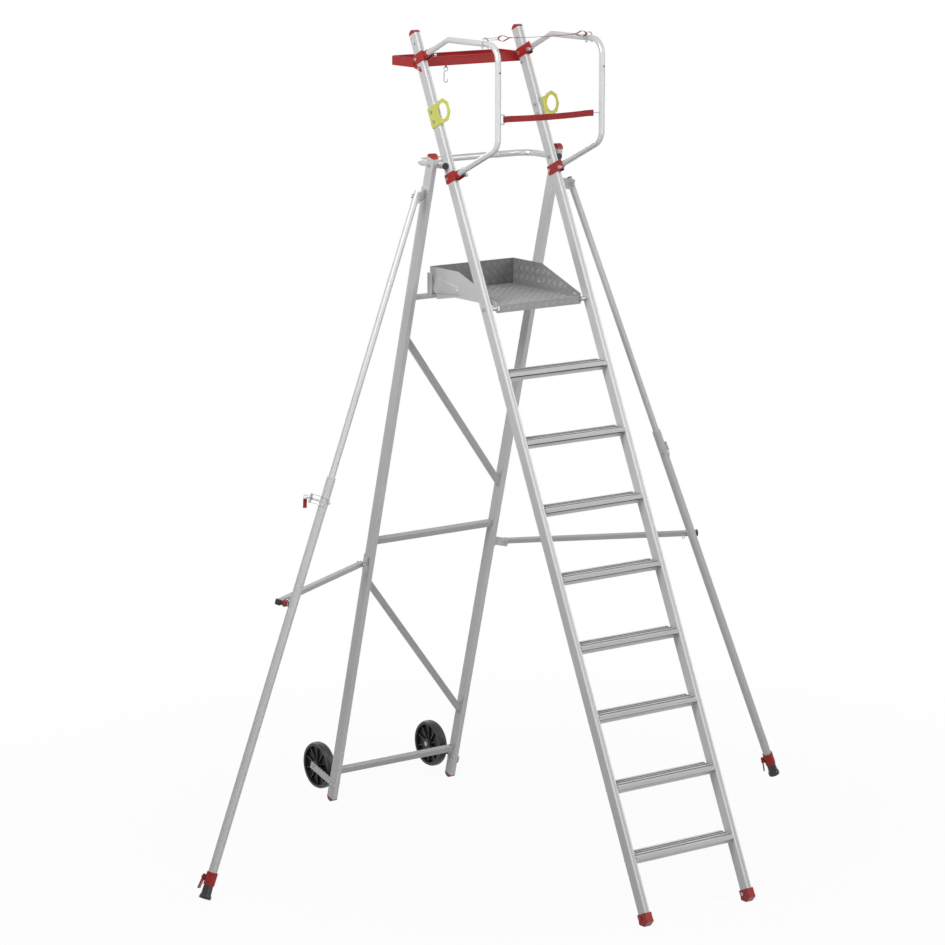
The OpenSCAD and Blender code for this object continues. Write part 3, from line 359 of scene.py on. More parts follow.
# %% [markdown]
# ## Aluminium
# Every profile was pressed through a die, which leaves faint lines along its length.
# One finish is made for each direction that the profiles run in: the noise is stretched
# a few hundred times along that direction, so that it reads as drawing lines. The
# crossbars, diagonals and braces get a darker tone than the rest, which is painted shade.

# %% Aluminium along each direction
ALU_TONES = ((0.66, 0.665, 0.675), (0.80, 0.80, 0.805))
PAINTED_SHADE_TONES = ((0.47, 0.473, 0.48), (0.58, 0.58, 0.585))
ALU_ROUGH, TUBE_ROUGH = (0.30, 0.46), (0.28, 0.36)
ALU_METAL, TUBE_SHINE = 0.16, 0.1
LINE, RUN, LINE_DEPTH = 0.0016, 0.45, 0.00012
ACROSS = (1, 0, 0)


def aluminium(name, along, tones=ALU_TONES):
    """Drawn aluminium whose lines lie along one direction."""
    turn = Vector(along).to_track_quat("Z", "Y").to_euler()
    return make_finish(name, tones, ALU_ROUGH, (LINE, LINE, RUN), LINE_DEPTH, ALU_METAL, turn)


alu_stile = aluminium("alu_stile", STILE_UP)
alu_leg = aluminium("alu_leg", LEG_UP)
alu_cross = aluminium("alu_cross", ACROSS)
# The darker tone of these bars is painted shade.
alu_painted_shade = aluminium("alu_painted_shade", ACROSS, PAINTED_SHADE_TONES)
alu_tube = make_finish(
    "alu_bent_tube", ALU_TONES, TUBE_ROUGH, size=even_grain(0.02), lift=0.00003,
    metallic=ALU_METAL + TUBE_SHINE,
)
alu_plate = make_finish(
    "alu_plate", ALU_TONES, ALU_ROUGH, size=(0.03, 0.002, 0.002), lift=0.0001, metallic=ALU_METAL
)
alu_inner = {s: aluminium(f"alu_inner_{s}", tube_place(s, 0, 0)[1]) for s, _ in SIDES}
print("aluminium: stiles, legs, crossbars, bars with painted shade, bent tubes, plates and", len(alu_inner), "inner tubes")

# %% [markdown]
# ## Grooves that hold dust
# The real profiles aren't plain: the stiles have a wide groove down the front, the treads
# have ribs on top and a nose with a recess under it, and the outer stabiliser tubes are
# fluted. Shade makes the low places darker, and here that shade is painted into the colour.
# A painted picture could show that, but each mask below is plain arithmetic on the place
# of a point and on the direction that its face looks in, so it follows the solid.

# %% Masks and darker places
FACING = 0.5


def split(tree, vector):
    """The three numbers of a vector."""
    parts = tree.nodes.new("ShaderNodeSeparateXYZ")
    tree.links.new(vector, parts.inputs[0])
    return parts.outputs["X"], parts.outputs["Y"], parts.outputs["Z"]


def spot_and_look(tree):
    """The place of a point on its piece, and the direction that its face looks in."""
    place = tree.nodes.new("ShaderNodeTexCoord")
    return split(tree, place.outputs["Object"]), split(tree, place.outputs["Normal"])


def both_true(tree, *masks):
    """1 where all masks are 1: their product."""
    held = masks[0]
    for mask in masks[1:]:
        held = math_step(tree, "MULTIPLY", held, mask)
    return held


def paint_over(made, mask, tone):
    """Lays a tone over a finish where the mask is 1."""
    tree = made.node_tree
    colour = tree.nodes["Principled BSDF"].inputs["Base Color"]
    tree.links.new(blend(tree, mask, colour.links[0].from_socket, tone), colour)


print("mask helpers ready")

# %% Painted shade in the groove down the front of the stiles
STILE_GROOVE, GROOVE_SHADE = 0.010, (0.50, 0.503, 0.51)
tree = alu_stile.node_tree
(x, _, _), (_, look_y, _) = spot_and_look(tree)
from_stile = math_step(tree, "SUBTRACT", math_step(tree, "ABSOLUTE", x), STILE_X)
in_groove = math_step(tree, "LESS_THAN", math_step(tree, "ABSOLUTE", from_stile), STILE_GROOVE / 2)
at_front = math_step(tree, "LESS_THAN", look_y, -FACING)
# Painted shade: a darker tone down the groove on the front of each stile.
paint_over(alu_stile, both_true(tree, in_groove, at_front), GROOVE_SHADE)
print("stile groove", STILE_GROOVE * 1000, "mm wide")

# %% Painted shade between the ribs and under the nose of the treads
TREAD_RISE, TREAD_NOSE, STILE_HALF_D = 0.250, 0.013, 0.023
RIB_GROOVE_SHADE, NOSE_RECESS_SHADE = (0.48, 0.482, 0.486), (0.12, 0.121, 0.123)
FIRST_GROOVE, RECESS_LOW, RIB_FLOOR = 0.009, -0.026, -0.001
NOSE_AT = MIDDLE_Y + TREAD_NOSE / math.tan(LADDER_LEAN) + STILE_HALF_D / math.sin(LADDER_LEAN)
alu_tread = aluminium("alu_tread", ACROSS)
tree = alu_tread.node_tree
(_, y, z), (_, look_y, look_z) = spot_and_look(tree)
below_top = math_step(tree, "WRAP", z, TREAD_RISE / 2, -TREAD_RISE / 2)
tread_top = math_step(tree, "SUBTRACT", z, below_top)
nose_line = math_step(tree, "MULTIPLY", tread_top, 1 / math.tan(LADDER_LEAN))
behind_nose = math_step(tree, "ADD", math_step(tree, "SUBTRACT", y, nose_line), NOSE_AT)
back = math_step(tree, "GREATER_THAN", behind_nose, FIRST_GROOVE)
low = math_step(tree, "LESS_THAN", below_top, RIB_FLOOR)
looks_up = math_step(tree, "GREATER_THAN", look_z, FACING)
# Painted shade on the floors between the ribs.
paint_over(alu_tread, both_true(tree, looks_up, low, back), RIB_GROOVE_SHADE)
high = math_step(tree, "GREATER_THAN", below_top, RECESS_LOW)
looks_ahead = math_step(tree, "LESS_THAN", look_y, -FACING)
# Painted shade on the recess under each nose.
paint_over(alu_tread, both_true(tree, looks_ahead, high, back), NOSE_RECESS_SHADE)
print("tread ribs and recess under each nose")

# %% Painted shade in the flutes of the outer stabiliser tubes
FLUTES, FLUTE_SHADE = 16, (0.62, 0.622, 0.627)


def fluted(side):
    """Drawn aluminium with painted shade in its flutes: darker where the cosine of sixteen times the angle
    round the tube is low.
    """
    base, along, rear = tube_place(side, 0, 0)
    made = aluminium(f"alu_outer_{side}", along)
    tree = made.node_tree
    turn = Matrix((np.cross(rear, -along), rear, -along)).transposed().to_euler()
    place = tree.nodes.new("ShaderNodeTexCoord")
    fit = node(tree, "ShaderNodeMapping", Location=base, Rotation=turn)
    fit.vector_type = "TEXTURE"
    tree.links.new(place.outputs["Object"], fit.inputs["Vector"])
    across, rearward, _ = split(tree, fit.outputs["Vector"])
    turns = math_step(tree, "MULTIPLY", math_step(tree, "ARCTAN2", rearward, across), float(FLUTES))
    in_flute = math_step(tree, "MULTIPLY_ADD", math_step(tree, "COSINE", turns), -0.5, 0.5)
    # Painted shade in the flutes.
    paint_over(made, in_flute, FLUTE_SHADE)
    return made


alu_outer = {s: fluted(s) for s, _ in SIDES}
print("fluted finishes:", len(alu_outer))

# %% [markdown]
# ## Paint, plastic, rubber and steel
# The tray and the rail brackets are powder coated, so they shine a little and have a fine
# orange peel. The caps, boots and clamps are moulded in the same red and a bit smoother.
# The anchor plates are a flat yellow green. Feet and wheels are black, and the fasteners
# are zinc plated.

# %% Coloured finishes
RED_TONES, RED_GLOSS = ((0.43, 0.020, 0.021), (0.50, 0.029, 0.031)), 0.32
LIME_TONES = ((0.76, 0.76, 0.16), (0.85, 0.85, 0.21))
RUBBER_TONES = ((0.014, 0.014, 0.015), (0.026, 0.026, 0.027))
BLACK_TONES = ((0.013, 0.013, 0.014), (0.024, 0.024, 0.025))
ZINC_TONES, ZINC_METAL = ((0.36, 0.36, 0.365), (0.52, 0.52, 0.525)), 0.7
red_paint = make_finish(
    "red_powder_coat", RED_TONES, rough=(0.34, 0.46), size=even_grain(0.004), lift=0.0002,
    Specular_IOR_Level=RED_GLOSS,
)
red_plastic = make_finish(
    "red_moulded", RED_TONES, rough=(0.24, 0.36), size=even_grain(0.006), lift=0.0002,
    Specular_IOR_Level=RED_GLOSS,
)
lime_paint = make_finish("lime_coat", LIME_TONES, rough=(0.42, 0.6), size=even_grain(0.012), lift=0.0002)
black_rubber = make_finish(
    "black_rubber", RUBBER_TONES, rough=(0.16, 0.28), size=even_grain(0.005), lift=0.0003
)
black_plastic = make_finish(
    "black_moulded", BLACK_TONES, rough=(0.38, 0.52), size=even_grain(0.008), lift=0.0002
)
zinc = make_finish(
    "zinc_plate", ZINC_TONES, rough=(0.3, 0.45), size=even_grain(0.006), lift=0.0001, metallic=ZINC_METAL
)
print("coloured finishes: powder coat, moulded red, lime, rubber, black plastic, zinc")

# %% [markdown]
# ## Red plugs on the boots
# Outside, each boot shows plain red where its bolt ends. The bolts are one solid with one
# finish, so a mask on the zinc colours the heads that lie low, in front and outside.

# %% Red plugs over the outer boot bolts
BOOT_TOP, PLUG_RED = 0.08, (0.46, 0.024, 0.026)
tree = zinc.node_tree
(x, y, z), _ = spot_and_look(tree)
low_down = math_step(tree, "LESS_THAN", z, BOOT_TOP)
outside = math_step(tree, "GREATER_THAN", math_step(tree, "ABSOLUTE", x), STILE_OUT)
in_front = math_step(tree, "LESS_THAN", y, 0.0)
paint_over(zinc, both_true(tree, low_down, outside, in_front), PLUG_RED)
print("boot bolts: red outside, zinc inside")

# %% [markdown]
# ## Dressing the solids
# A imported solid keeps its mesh. Only its material slot changes, so each list below names
# the solids that share a finish.

# %% Give each solid its finish
TREADS = 8


def of_both(*parts):
    """The left and the right solid of each part."""
    return [f"{part}_{side}" for part in parts for side, _ in SIDES]


dressed = {
    alu_stile: of_both("stile"),
    alu_leg: of_both("rear_leg"),
    alu_tread: [f"tread_{k + 1}" for k in range(TREADS)],
    alu_cross: ["platform_rest"],
    alu_painted_shade: ["crossbar_low", "crossbar_mid", "diagonals", *of_both("brace")],
    alu_tube: [*of_both("guard_rail"), "hinge_rail"],
    alu_plate: ["stabiliser_brackets", "brace_brackets", "wheel_arms", "platform_hooks", "platform_posts"],
    alu_outer["left"]: ["outer_tube_left"],
    alu_outer["right"]: ["outer_tube_right"],
    alu_inner["left"]: ["inner_tube_left"],
    alu_inner["right"]: ["inner_tube_right"],
    red_paint: ["tool_tray", "rail_brackets"],
    red_plastic: ["ladder_feet", "stile_caps", "leg_caps", "leg_plugs", *of_both("collar", "collar_lever")],
    lime_paint: ["anchor_plates"],
    black_rubber: of_both("stabiliser_foot"),
    black_plastic: ["hinge_rail_plugs", *of_both("wheel")],
    zinc: ["ladder_bolts", "strap_hardware", "hinge_pins", "platform_pivots", "frame_bolts", "tray_hook"]
    + of_both("lock_pin", "brace_pin"),
}


def dress(name, finish):
    """Gives a solid one finish in place of what it had."""
    mesh = frame["nodes"][name].data
    mesh.materials.clear()
    mesh.materials.append(finish)


for finish, names in dressed.items():
    for name in names:
        dress(name, finish)
print("dressed solids:", sum(len(names) for names in dressed.values()))

# %% [markdown]
# ## The platform plate
# The platform is folded from five-bar plate: small raised bars in groups that lie aslant,
# each group turned a quarter from the next. The inside is grey from use and the outside
# is plain bright sheet. The finish tells them apart by the direction that a face looks
# in, taken from the piece itself, so it stays put when the platform tilts.

# %% Plate finish
PLATE_TONES = ((0.32, 0.322, 0.326), (0.45, 0.452, 0.456))
BAR_TONES = ((0.40, 0.402, 0.406), (0.55, 0.552, 0.556))
REAR_WALL_SHADE, REAR_BARS_SHADE = (0.23, 0.232, 0.235), (0.30, 0.302, 0.305)
PLATE_ROUGH, PLATE_METAL = (0.5, 0.66), 0.2
SHEET_GRAIN, INWARD = (0.03, 0.002, 0.03), -0.05
DECK_MIDDLE, REAR_WALL = 1.25 - MIDDLE_Y, 1.477988 - MIDDLE_Y
NEAR_WALL = 0.004


def plate_finish():
    """Dark worn plate where a face looks up, to the front or to the middle, bright sheet elsewhere, and
    painted shade on the inner face of the rear wall.
    """
    made = make_finish("five_bar_plate", PLATE_TONES, PLATE_ROUGH, even_grain(0.012), 0.0003, PLATE_METAL)
    tree = made.node_tree
    (x, y, _), (look_x, look_y, look_z) = spot_and_look(tree)
    inward = math_step(tree, "LESS_THAN", math_step(tree, "MULTIPLY", look_x, x), INWARD)
    upward = math_step(tree, "GREATER_THAN", look_z, FACING)
    forward = math_step(tree, "LESS_THAN", look_y, -FACING)
    rear_wall = both_true(tree, forward, math_step(tree, "GREATER_THAN", y, DECK_MIDDLE))
    # Painted shade on the inner face of the rear wall.
    paint_over(made, rear_wall, REAR_WALL_SHADE)
    inside = math_step(tree, "MAXIMUM", math_step(tree, "MAXIMUM", inward, upward), forward)
    bright = blend(tree, noise_on(tree, NO_TURN, SHEET_GRAIN), *ALU_TONES)
    paint_over(made, math_step(tree, "SUBTRACT", 1.0, inside), bright)
    return made


dress("platform_deck", plate_finish())
shaded_and_worn_bars = make_finish("shaded_and_worn_bar_tops", BAR_TONES, PLATE_ROUGH, even_grain(0.01), 0.0002, PLATE_METAL)
tree = shaded_and_worn_bars.node_tree
(_, y, _), _ = spot_and_look(tree)
# Painted shade on the bars of the rear wall.
paint_over(shaded_and_worn_bars, math_step(tree, "GREATER_THAN", y, REAR_WALL - NEAR_WALL), REAR_BARS_SHADE)
print("plate finish on platform_deck")

# %% [markdown]
# ## Raised bars
# The bars catch the light along their edges, which a bump alone doesn't show from the
# side, so they are real. There are hundreds, so each has only a few faces: three rings of
# a pointed oval. One formula places them all on a grid that is turned by an eighth.

# %% One bar and a panel of bars
DECK_W, DECK_D, DECK_T = 0.414, 0.450, 0.003
DECK_Z, WALL_H, WALL_FLAT, LIP_H = 2.245, 0.103, 0.194, 0.030
LIP_OUT, LIP_END, LIP_CLEAR = 0.006, 0.02, 0.002
DECK_FRONT = 1.036988 - LIP_OUT - MIDDLE_Y
CELL, BAR_L, BAR_W, BAR_H, BAR_PITCH, BARS = 0.026, 0.021, 0.0034, 0.0010, 0.0052, 5
SINK, EDGE, EIGHTH = 0.0003, 0.0088, math.sqrt(0.5)
BAR_POINTS, POINTED = 8, 0.3
RING_SIZES = np.array([1.0, 0.86, 0.5])
RING_HEIGHTS = np.array([-SINK, 0.6 * BAR_H, BAR_H])


def bar_grid():
    """One bar: a pointed oval outline drawn in three rings, below the plate, part way and on top."""
    t = np.linspace(0, 2 * np.pi, BAR_POINTS, endpoint=False)
    narrow = np.abs(np.sin(t)) ** POINTED
    outline = np.stack([BAR_L / 2 * np.cos(t), BAR_W / 2 * np.sin(t) * narrow], -1)
    high = np.broadcast_to(RING_HEIGHTS[:, None, None], (len(RING_HEIGHTS), BAR_POINTS, 1))
    return np.concatenate([outline[None] * RING_SIZES[:, None, None], high], -1)


def bars_on(corner, right, up, width, height, keep):
    """Groups of five bars on a flat panel, on a grid turned by an eighth, each group square to
    its neighbour. A bar stays when its middle is at least EDGE inside the panel and keep(a, b)
    holds there."""
    right, up = np.array(right, float), np.array(up, float)
    out = np.cross(right, up)
    reach = int((width + height) / CELL / 2) + 1
    i, j = np.meshgrid(np.arange(-reach, reach + 1), np.arange(-reach, reach + 1), indexing="ij")
    shift = (np.arange(BARS) - (BARS - 1) / 2) * BAR_PITCH
    turned = ((i + j) % 2 == 1)[..., None]
    p = i[..., None] * CELL + np.where(turned, shift, 0)
    q = j[..., None] * CELL + np.where(turned, 0, shift)
    ca, cb = width / 2 + (p - q) * EIGHTH, height / 2 + (p + q) * EIGHTH
    inside = (ca > EDGE) & (ca < width - EDGE) & (cb > EDGE) & (cb < height - EDGE)
    held = inside & keep(ca, cb)
    lean = np.where(turned, -EIGHTH, EIGHTH) * np.ones(BARS)
    ca, cb, lean = (v[held][:, None, None] for v in (ca, cb, lean))
    bar = bar_grid()[None]
    pa = ca + lean * bar[..., 0] - EIGHTH * bar[..., 1]
    pb = cb + EIGHTH * bar[..., 0] + lean * bar[..., 1]
    ph = np.broadcast_to(bar[..., 2], pa.shape)
    return np.array(corner) + pa[..., None] * right + pb[..., None] * up + ph[..., None] * out


# %% Bars on the floor, the walls and the lip
DECK_HALF, DECK_IN = DECK_W / 2, DECK_W / 2 - DECK_T
FRONT_WALL, FLOOR_D = 4 * DECK_T, DECK_D - DECK_T
WALL_SLOPE = (WALL_H - FRONT_WALL) / (DECK_D - WALL_FLAT)
RIGHT, BACK, UP = (1, 0, 0), (0, 1, 0), (0, 0, 1)


def under_slope(a, b):
    """Bars of a side wall that stay under its sloping front edge."""
    return b + EDGE < np.minimum(WALL_H, FRONT_WALL + WALL_SLOPE * (a - EDGE))


def under_slope_back(a, b):
    """The same for a wall that is measured from its rear end."""
    return under_slope(FLOOR_D - a, b)


def everywhere(a, b):
    """All bars of a panel."""
    return np.ones(a.shape, bool)


lip_corner = (-DECK_HALF + LIP_END, DECK_FRONT, DECK_Z - LIP_H)
panels = [
    bars_on((-DECK_IN, DECK_FRONT, DECK_Z), RIGHT, BACK, 2 * DECK_IN, FLOOR_D, everywhere),
    bars_on((-DECK_IN, REAR_WALL, DECK_Z), RIGHT, UP, 2 * DECK_IN, WALL_H, everywhere),
    bars_on(lip_corner, RIGHT, UP, DECK_W - 2 * LIP_END, LIP_H - LIP_CLEAR, everywhere),
    bars_on((DECK_IN, REAR_WALL, DECK_Z), (0, -1, 0), UP, DECK_D, WALL_H, under_slope_back),
    bars_on((-DECK_IN, DECK_FRONT, DECK_Z), BACK, UP, FLOOR_D, WALL_H, under_slope),
]
add_piece("deck_bars", tubes(panels), "platform", shaded_and_worn_bars)
print("raised bars:", sum(len(p) for p in panels))

# %% [markdown]
# ## Red webbing
# Two straps close the front of the guard. Woven tape is thin and flat, and the remesh of
# a cloth simulation would erase it, so it is drawn as an eased rectangle carried along a
# smooth path, with its ends turned back. The weave follows the tape, which is why these
# pieces carry a map of their own: one way across the tape and one way along it, both in
# metres.

# %% Webbing finish
RIB_PITCH, WARP_PITCH = 0.0011, 0.0008
WEB_TONES, WEB_ROUGH = ((0.36, 0.016, 0.019), (0.54, 0.032, 0.037)), (0.85, 0.7)
WEB_SHEEN, WEB_STRAY, WEB_BUMP, WEB_LIFT = 0.25, 0.4, 0.5, 0.0004
WAVE_PERIOD = math.pi / 10  # of a Wave node whose scale is 1


def webbing_finish():
    """Woven tape: ribs across times finer warp threads along, two waves on the tape's own map."""
    made, tree, shader = new_finish("red_webbing")
    shader.inputs["Sheen Weight"].default_value = WEB_SHEEN
    tape = tree.nodes.new("ShaderNodeUVMap")
    tape.uv_map = "weave"
    heights = []
    for direction, pitch in (("Y", RIB_PITCH), ("X", WARP_PITCH)):
        wave = node(tree, "ShaderNodeTexWave", Scale=WAVE_PERIOD / pitch, Distortion=WEB_STRAY)
        wave.bands_direction = direction
        tree.links.new(tape.outputs["UV"], wave.inputs["Vector"])
        heights.append(wave.outputs["Fac"])
    weave = math_step(tree, "MULTIPLY", *heights)
    tree.links.new(blend(tree, weave, *WEB_TONES), shader.inputs["Base Color"])
    tree.links.new(span(tree, weave, *WEB_ROUGH), shader.inputs["Roughness"])
    lift_bump(tree, shader, weave, WEB_BUMP, WEB_LIFT)
    return made


webbing = webbing_finish()


def tape_piece(name, path, up, width, thick, body):
    """A tape along a path: its map runs from edge to edge and from end to end."""
    path = np.asarray(path, float)
    profile = soft_box(thick, width)
    grid = sweep(path, up, profile)
    run = np.concatenate([[0], np.cumsum(np.linalg.norm(np.diff(path, axis=0), axis=1))])
    across = np.broadcast_to(profile[None, :, 1], grid.shape[:2])
    along = np.broadcast_to(run[:, None], grid.shape[:2])
    uv = np.stack([across, along], -1).reshape(-1, 2)
    return add_piece(name, tubes([grid]), body, webbing, uv), float(run[-1])


print("webbing finish, ribs every", RIB_PITCH * 1000, "mm")

# %% [markdown]
# ## Chest strap
# The flat strap goes round a wire at each guard rail and is sewn to itself. Both ends
# have one shape, which is mirrored, and the strap sags a little in the middle.

# %% Chest strap
STRAP_Z, STRAP_W, STRAP_T = 2.9792, 0.024, 0.0016
WIRE_LEFT, WIRE_RIGHT = -0.2223, 0.2060
FOLD, SEWN = 0.0042, 0.042
KNOT_STEPS = 8
STRAP_END = (
    (SEWN, 0.0019, 0.0), (0.020, 0.0022, 0.0), (0.006, 0.0038, 0.0),
    (-0.0012, FOLD - 0.0004, 0.0), (-FOLD, 0.0, 0.0), (-0.0012, 0.0004 - FOLD, 0.0),
    (0.006, -0.0034, 0.0), (0.020, -0.0004, 0.0), (SEWN, 0.0, 0.0004),
)
STRAP_MIDDLE = ((-0.10, -0.0004, 0.0022), (0.0, -0.0006, 0.0030), (0.10, -0.0004, 0.0022))


def strap_knots(shape, start=0.0, inward=1):
    """Knots of the chest strap from (across, behind, sag); inward is -1 or 1, towards its middle."""
    return [(start + inward * a, RAIL_Y + b, STRAP_Z - sag) for a, b, sag in shape]


left_end, right_end = strap_knots(STRAP_END, WIRE_LEFT), strap_knots(STRAP_END, WIRE_RIGHT, -1)
chest_path = smooth_path(left_end + strap_knots(STRAP_MIDDLE) + right_end[::-1], KNOT_STEPS)
chest_strap, chest_length = tape_piece("chest_strap", chest_path, UP, STRAP_W, STRAP_T, "ladder")
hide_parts("strap_lower")
print("chest strap length", round(chest_length, 3), "m")

# %% [markdown]
# ## Upper strap
# The thin strap at the top opens into an eye at each end. One tape runs through all of
# it: round the first eye, across with a slight sag, and round the second eye.

# %% Upper strap with an eye at each end
TOP_Y, TOP_Z, TOP_W, TOP_T = RAIL_Y + 0.084, 3.28178, 0.012, 0.0014
EYE_LEFT, EYE_RIGHT = -0.1905, 0.2375
EYE_L, EYE_H = 0.050, 0.011
EYE_SHAPE = (
    (1.30, 0.0017), (1.05, 0.0021), (0.85, 0.35 * EYE_H), (0.45, EYE_H), (0.12, 0.62 * EYE_H), (0.0, 0.0),
    (0.12, -0.62 * EYE_H), (0.45, -EYE_H), (0.85, -0.35 * EYE_H), (1.05, -0.0002), (1.30, 0.0),
)
TOP_SAG = ((-0.06, 0.0018), (0.03, 0.0026), (0.11, 0.0018))


def eye_knots(tip, inward):
    """An eye in the tape: out along the upper side, round the tip and back along the lower side.
    inward is the direction from the tip to the middle of the strap, -1 or 1."""
    return [(tip + inward * EYE_L * a, TOP_Y, TOP_Z + b) for a, b in EYE_SHAPE]


middle = [(x, TOP_Y, TOP_Z - sag) for x, sag in TOP_SAG]
top_path = smooth_path(eye_knots(EYE_LEFT, 1) + middle + eye_knots(EYE_RIGHT, -1)[::-1], KNOT_STEPS)
upper_strap, upper_length = tape_piece("upper_strap", top_path, BACK, TOP_W, TOP_T, "ladder")
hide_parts("strap_upper")
print("upper strap length", round(upper_length, 3), "m")

# %% [markdown]
# ## Stitches
# Two rows of thread hold each end of the chest strap. A thread is a small capsule, turned
# once and repeated along the row.

# %% Stitches
STITCH_L, STITCH_R, STITCH_GAP, STITCHES = 0.0026, 0.00035, 0.0038, 7
STITCH_ROWS, FIRST_STITCH, STITCH_OUT = (-0.008, 0.008), 0.016, 0.0013
STITCH_SHAPE = np.array([(0.2, 0.0), (0.9, 0.08), (1.0, 0.3), (1.0, 0.7), (0.9, 0.92), (0.2, 1.0)])
THREAD_TONES = ((0.24, 0.012, 0.016), (0.36, 0.02, 0.026))


def stitch_row(start, step, count, lie):
    """A row of short threads: small capsules, each a ring profile turned about its own line."""
    one = revolve(STITCH_SHAPE * [STITCH_R, STITCH_L], (0, 0, 0), lie, 8)
    return np.array(start) + np.arange(count)[:, None, None, None] * np.array(step) + one[None]


rows = []
for wire, inward in ((WIRE_LEFT, 1), (WIRE_RIGHT, -1)):
    for height in STITCH_ROWS:
        first = (wire + inward * FIRST_STITCH, RAIL_Y - STITCH_OUT, STRAP_Z + height)
        rows.append(stitch_row(first, (inward * STITCH_GAP, 0, 0), STITCHES, (inward, 0, 0)))
thread = make_finish("red_thread", THREAD_TONES, rough=(0.7, 0.85), size=even_grain(0.001), lift=0.0001)
add_piece("chest_strap_stitches", tubes(rows), "ladder", thread)

# %% [markdown]
# ## Tags and ribbons
# Each lock pin has a ring with a short red tag, so that it can be found and pulled. The
# tag hangs straight down from the ring, a little curled, and moves with its pin. A ribbon
# is wound round the block near the end of each brace, and its tail hangs.

# %% Ribbon tags on the lock pins
TAG_W, TAG_T, TAG_L, TAG_STEPS = 0.015, 0.0012, 0.037, 14
TAG_CURL, TAG_LEAN = 0.003, 0.06
LOCK_DOWN, RING_BACK, RING_R = 1.248, 0.078, 0.008
TAG_ACROSS, TAG_BACK = (0.809, -0.588, 0.0), np.array([0.588, 0.809, 0.0])

fall = np.linspace(0, 1, TAG_STEPS)[:, None]
curl = TAG_CURL * np.sin(np.pi * fall) * TAG_BACK
for side, sign in SIDES:
    ring, along, _ = tube_place(side, LOCK_DOWN, RING_BACK)
    path = ring + along * RING_R + fall * TAG_L * np.array([TAG_LEAN * sign, 0.0, -1.0]) + curl
    tag, tag_length = tape_piece(f"lock_tag_{side}", path, TAG_ACROSS, TAG_W, TAG_T, f"lock_pin_{side}")

# %% Ribbons wound round the brace blocks
BRACE_ALONG = np.array([0.8435, -0.53637, 0.02845])
BRACE_BACK = np.array([0.5197, 0.82838, 0.20902])
BRACE_UP = np.array([-0.13568, -0.16153, 0.9775])
BRACE_L, BLOCK_AT, BLOCK_L, BLOCK_H = 0.813495, 0.793495, 0.022, 0.020
RIBBON_W, RIBBON_T, RIBBON_OFF = 0.010, 0.0010, 0.0009
WIND_FROM, WIND_TO, WIND_TURNS, WIND_STEPS = -0.0315, -0.0175, 1.5, 97
TAIL = np.array([(-0.0030, -0.0118), (-0.0055, -0.0145), (-0.0062, -0.0190)])
TAIL_STEPS = 4


def brace_place(side, sign):
    """The pivot of a brace and its directions along, back and up, mirrored for its side."""
    pivot = np.array(joints[f"brace_{side}_fold"]["pos_m"])
    return pivot, np.stack([BRACE_ALONG, BRACE_BACK, BRACE_UP]) * np.array([sign, 1, 1])


def wound_ribbon():
    """One and a half turns round a block, as (along, back, up): an eased rectangle whose place
    along the block goes slowly at both ends, followed by a tail that hangs down."""
    share = np.linspace(0, 1, WIND_STEPS)
    angle = np.pi / 2 - 2 * np.pi * WIND_TURNS * share
    ring = eased(np.stack([np.cos(angle), np.sin(angle)], -1), EASE)
    ring = ring * (np.array([BLOCK_L, BLOCK_H]) / 2 + RIBBON_OFF)
    back = WIND_FROM + (WIND_TO - WIND_FROM) * share**2 * (3 - 2 * share)
    wound = np.column_stack([ring[:, 0], back, ring[:, 1]])
    knots = np.column_stack([TAIL[:, 0], np.full(len(TAIL), WIND_TO), TAIL[:, 1]])
    return np.vstack([wound, smooth_path(knots, TAIL_STEPS)])


for side, sign in SIDES:
    pivot, ways = brace_place(side, sign)
    path = pivot + BLOCK_AT * ways[0] + wound_ribbon() @ ways
    ribbon, ribbon_length = tape_piece(
        f"brace_ribbon_{side}", path, ways[1], RIBBON_W, RIBBON_T, f"brace_{side}"
    )

# %% [markdown]
# ## End caps of the braces
# Each brace ends in a low black plastic cap. It is an eased square carried a short way along
# the bar and drawn in at its end, which keeps the soft edge of a moulded part.

# %% Brace caps
CAP_L, CAP_W, CAP_EASE, CAP_POINTS = 0.006, 0.0234, 0.22, 32
CAP_REACH = np.array([-CAP_L, -CAP_L + 0.0004, 0.0, 0.0016, 0.0026])
CAP_SIZE = np.array([0.97, 1.0, 1.0, 0.97, 0.86])

for side, sign in SIDES:
    pivot, (along, _, up) = brace_place(side, sign)
    path = pivot + (BRACE_L + CAP_REACH)[:, None] * along
    profile = soft_box(CAP_W, CAP_W, CAP_EASE, CAP_POINTS)[None] * CAP_SIZE[:, None, None]
    cap = sweep(path, up, profile)
    add_piece(f"brace_cap_{side}", tubes([cap]), f"brace_{side}", black_plastic)

# %% [markdown]
# ## Rivets, buttons and holes
# Small round things are turned profiles too: a low dome for a rivet, a larger one for the
# bolt on each side of the platform, a smaller dark one for the spring button on each guard
# rail, and a thin dark disc, as painted shade, for the hole near the top of each stile.

# %% Small round trims
RIVET = np.array([
    (0.0052, -0.0006), (0.0052, 0.0004), (0.0046, 0.0014),
    (0.0032, 0.0022), (0.0014, 0.0026), (0.0002, 0.0027),
])
WELL = ((0.0001, -0.0004), (0.0034, -0.0004), (0.0034, 0.0003), (0.0001, 0.0003))
RIVET_SPOTS = ((0.2687, 2.270), (0.0367, 2.2515))
BOLT_SIZE, BOLT_OUT, BOLT_BACK, BOLT_UP = 1.5, 0.004, 0.262, 0.026
BUTTON_SIZE, BUTTON_Z, BUTTON_SINK, HOLE_S = 0.75, 3.159, 0.0002, 3.566

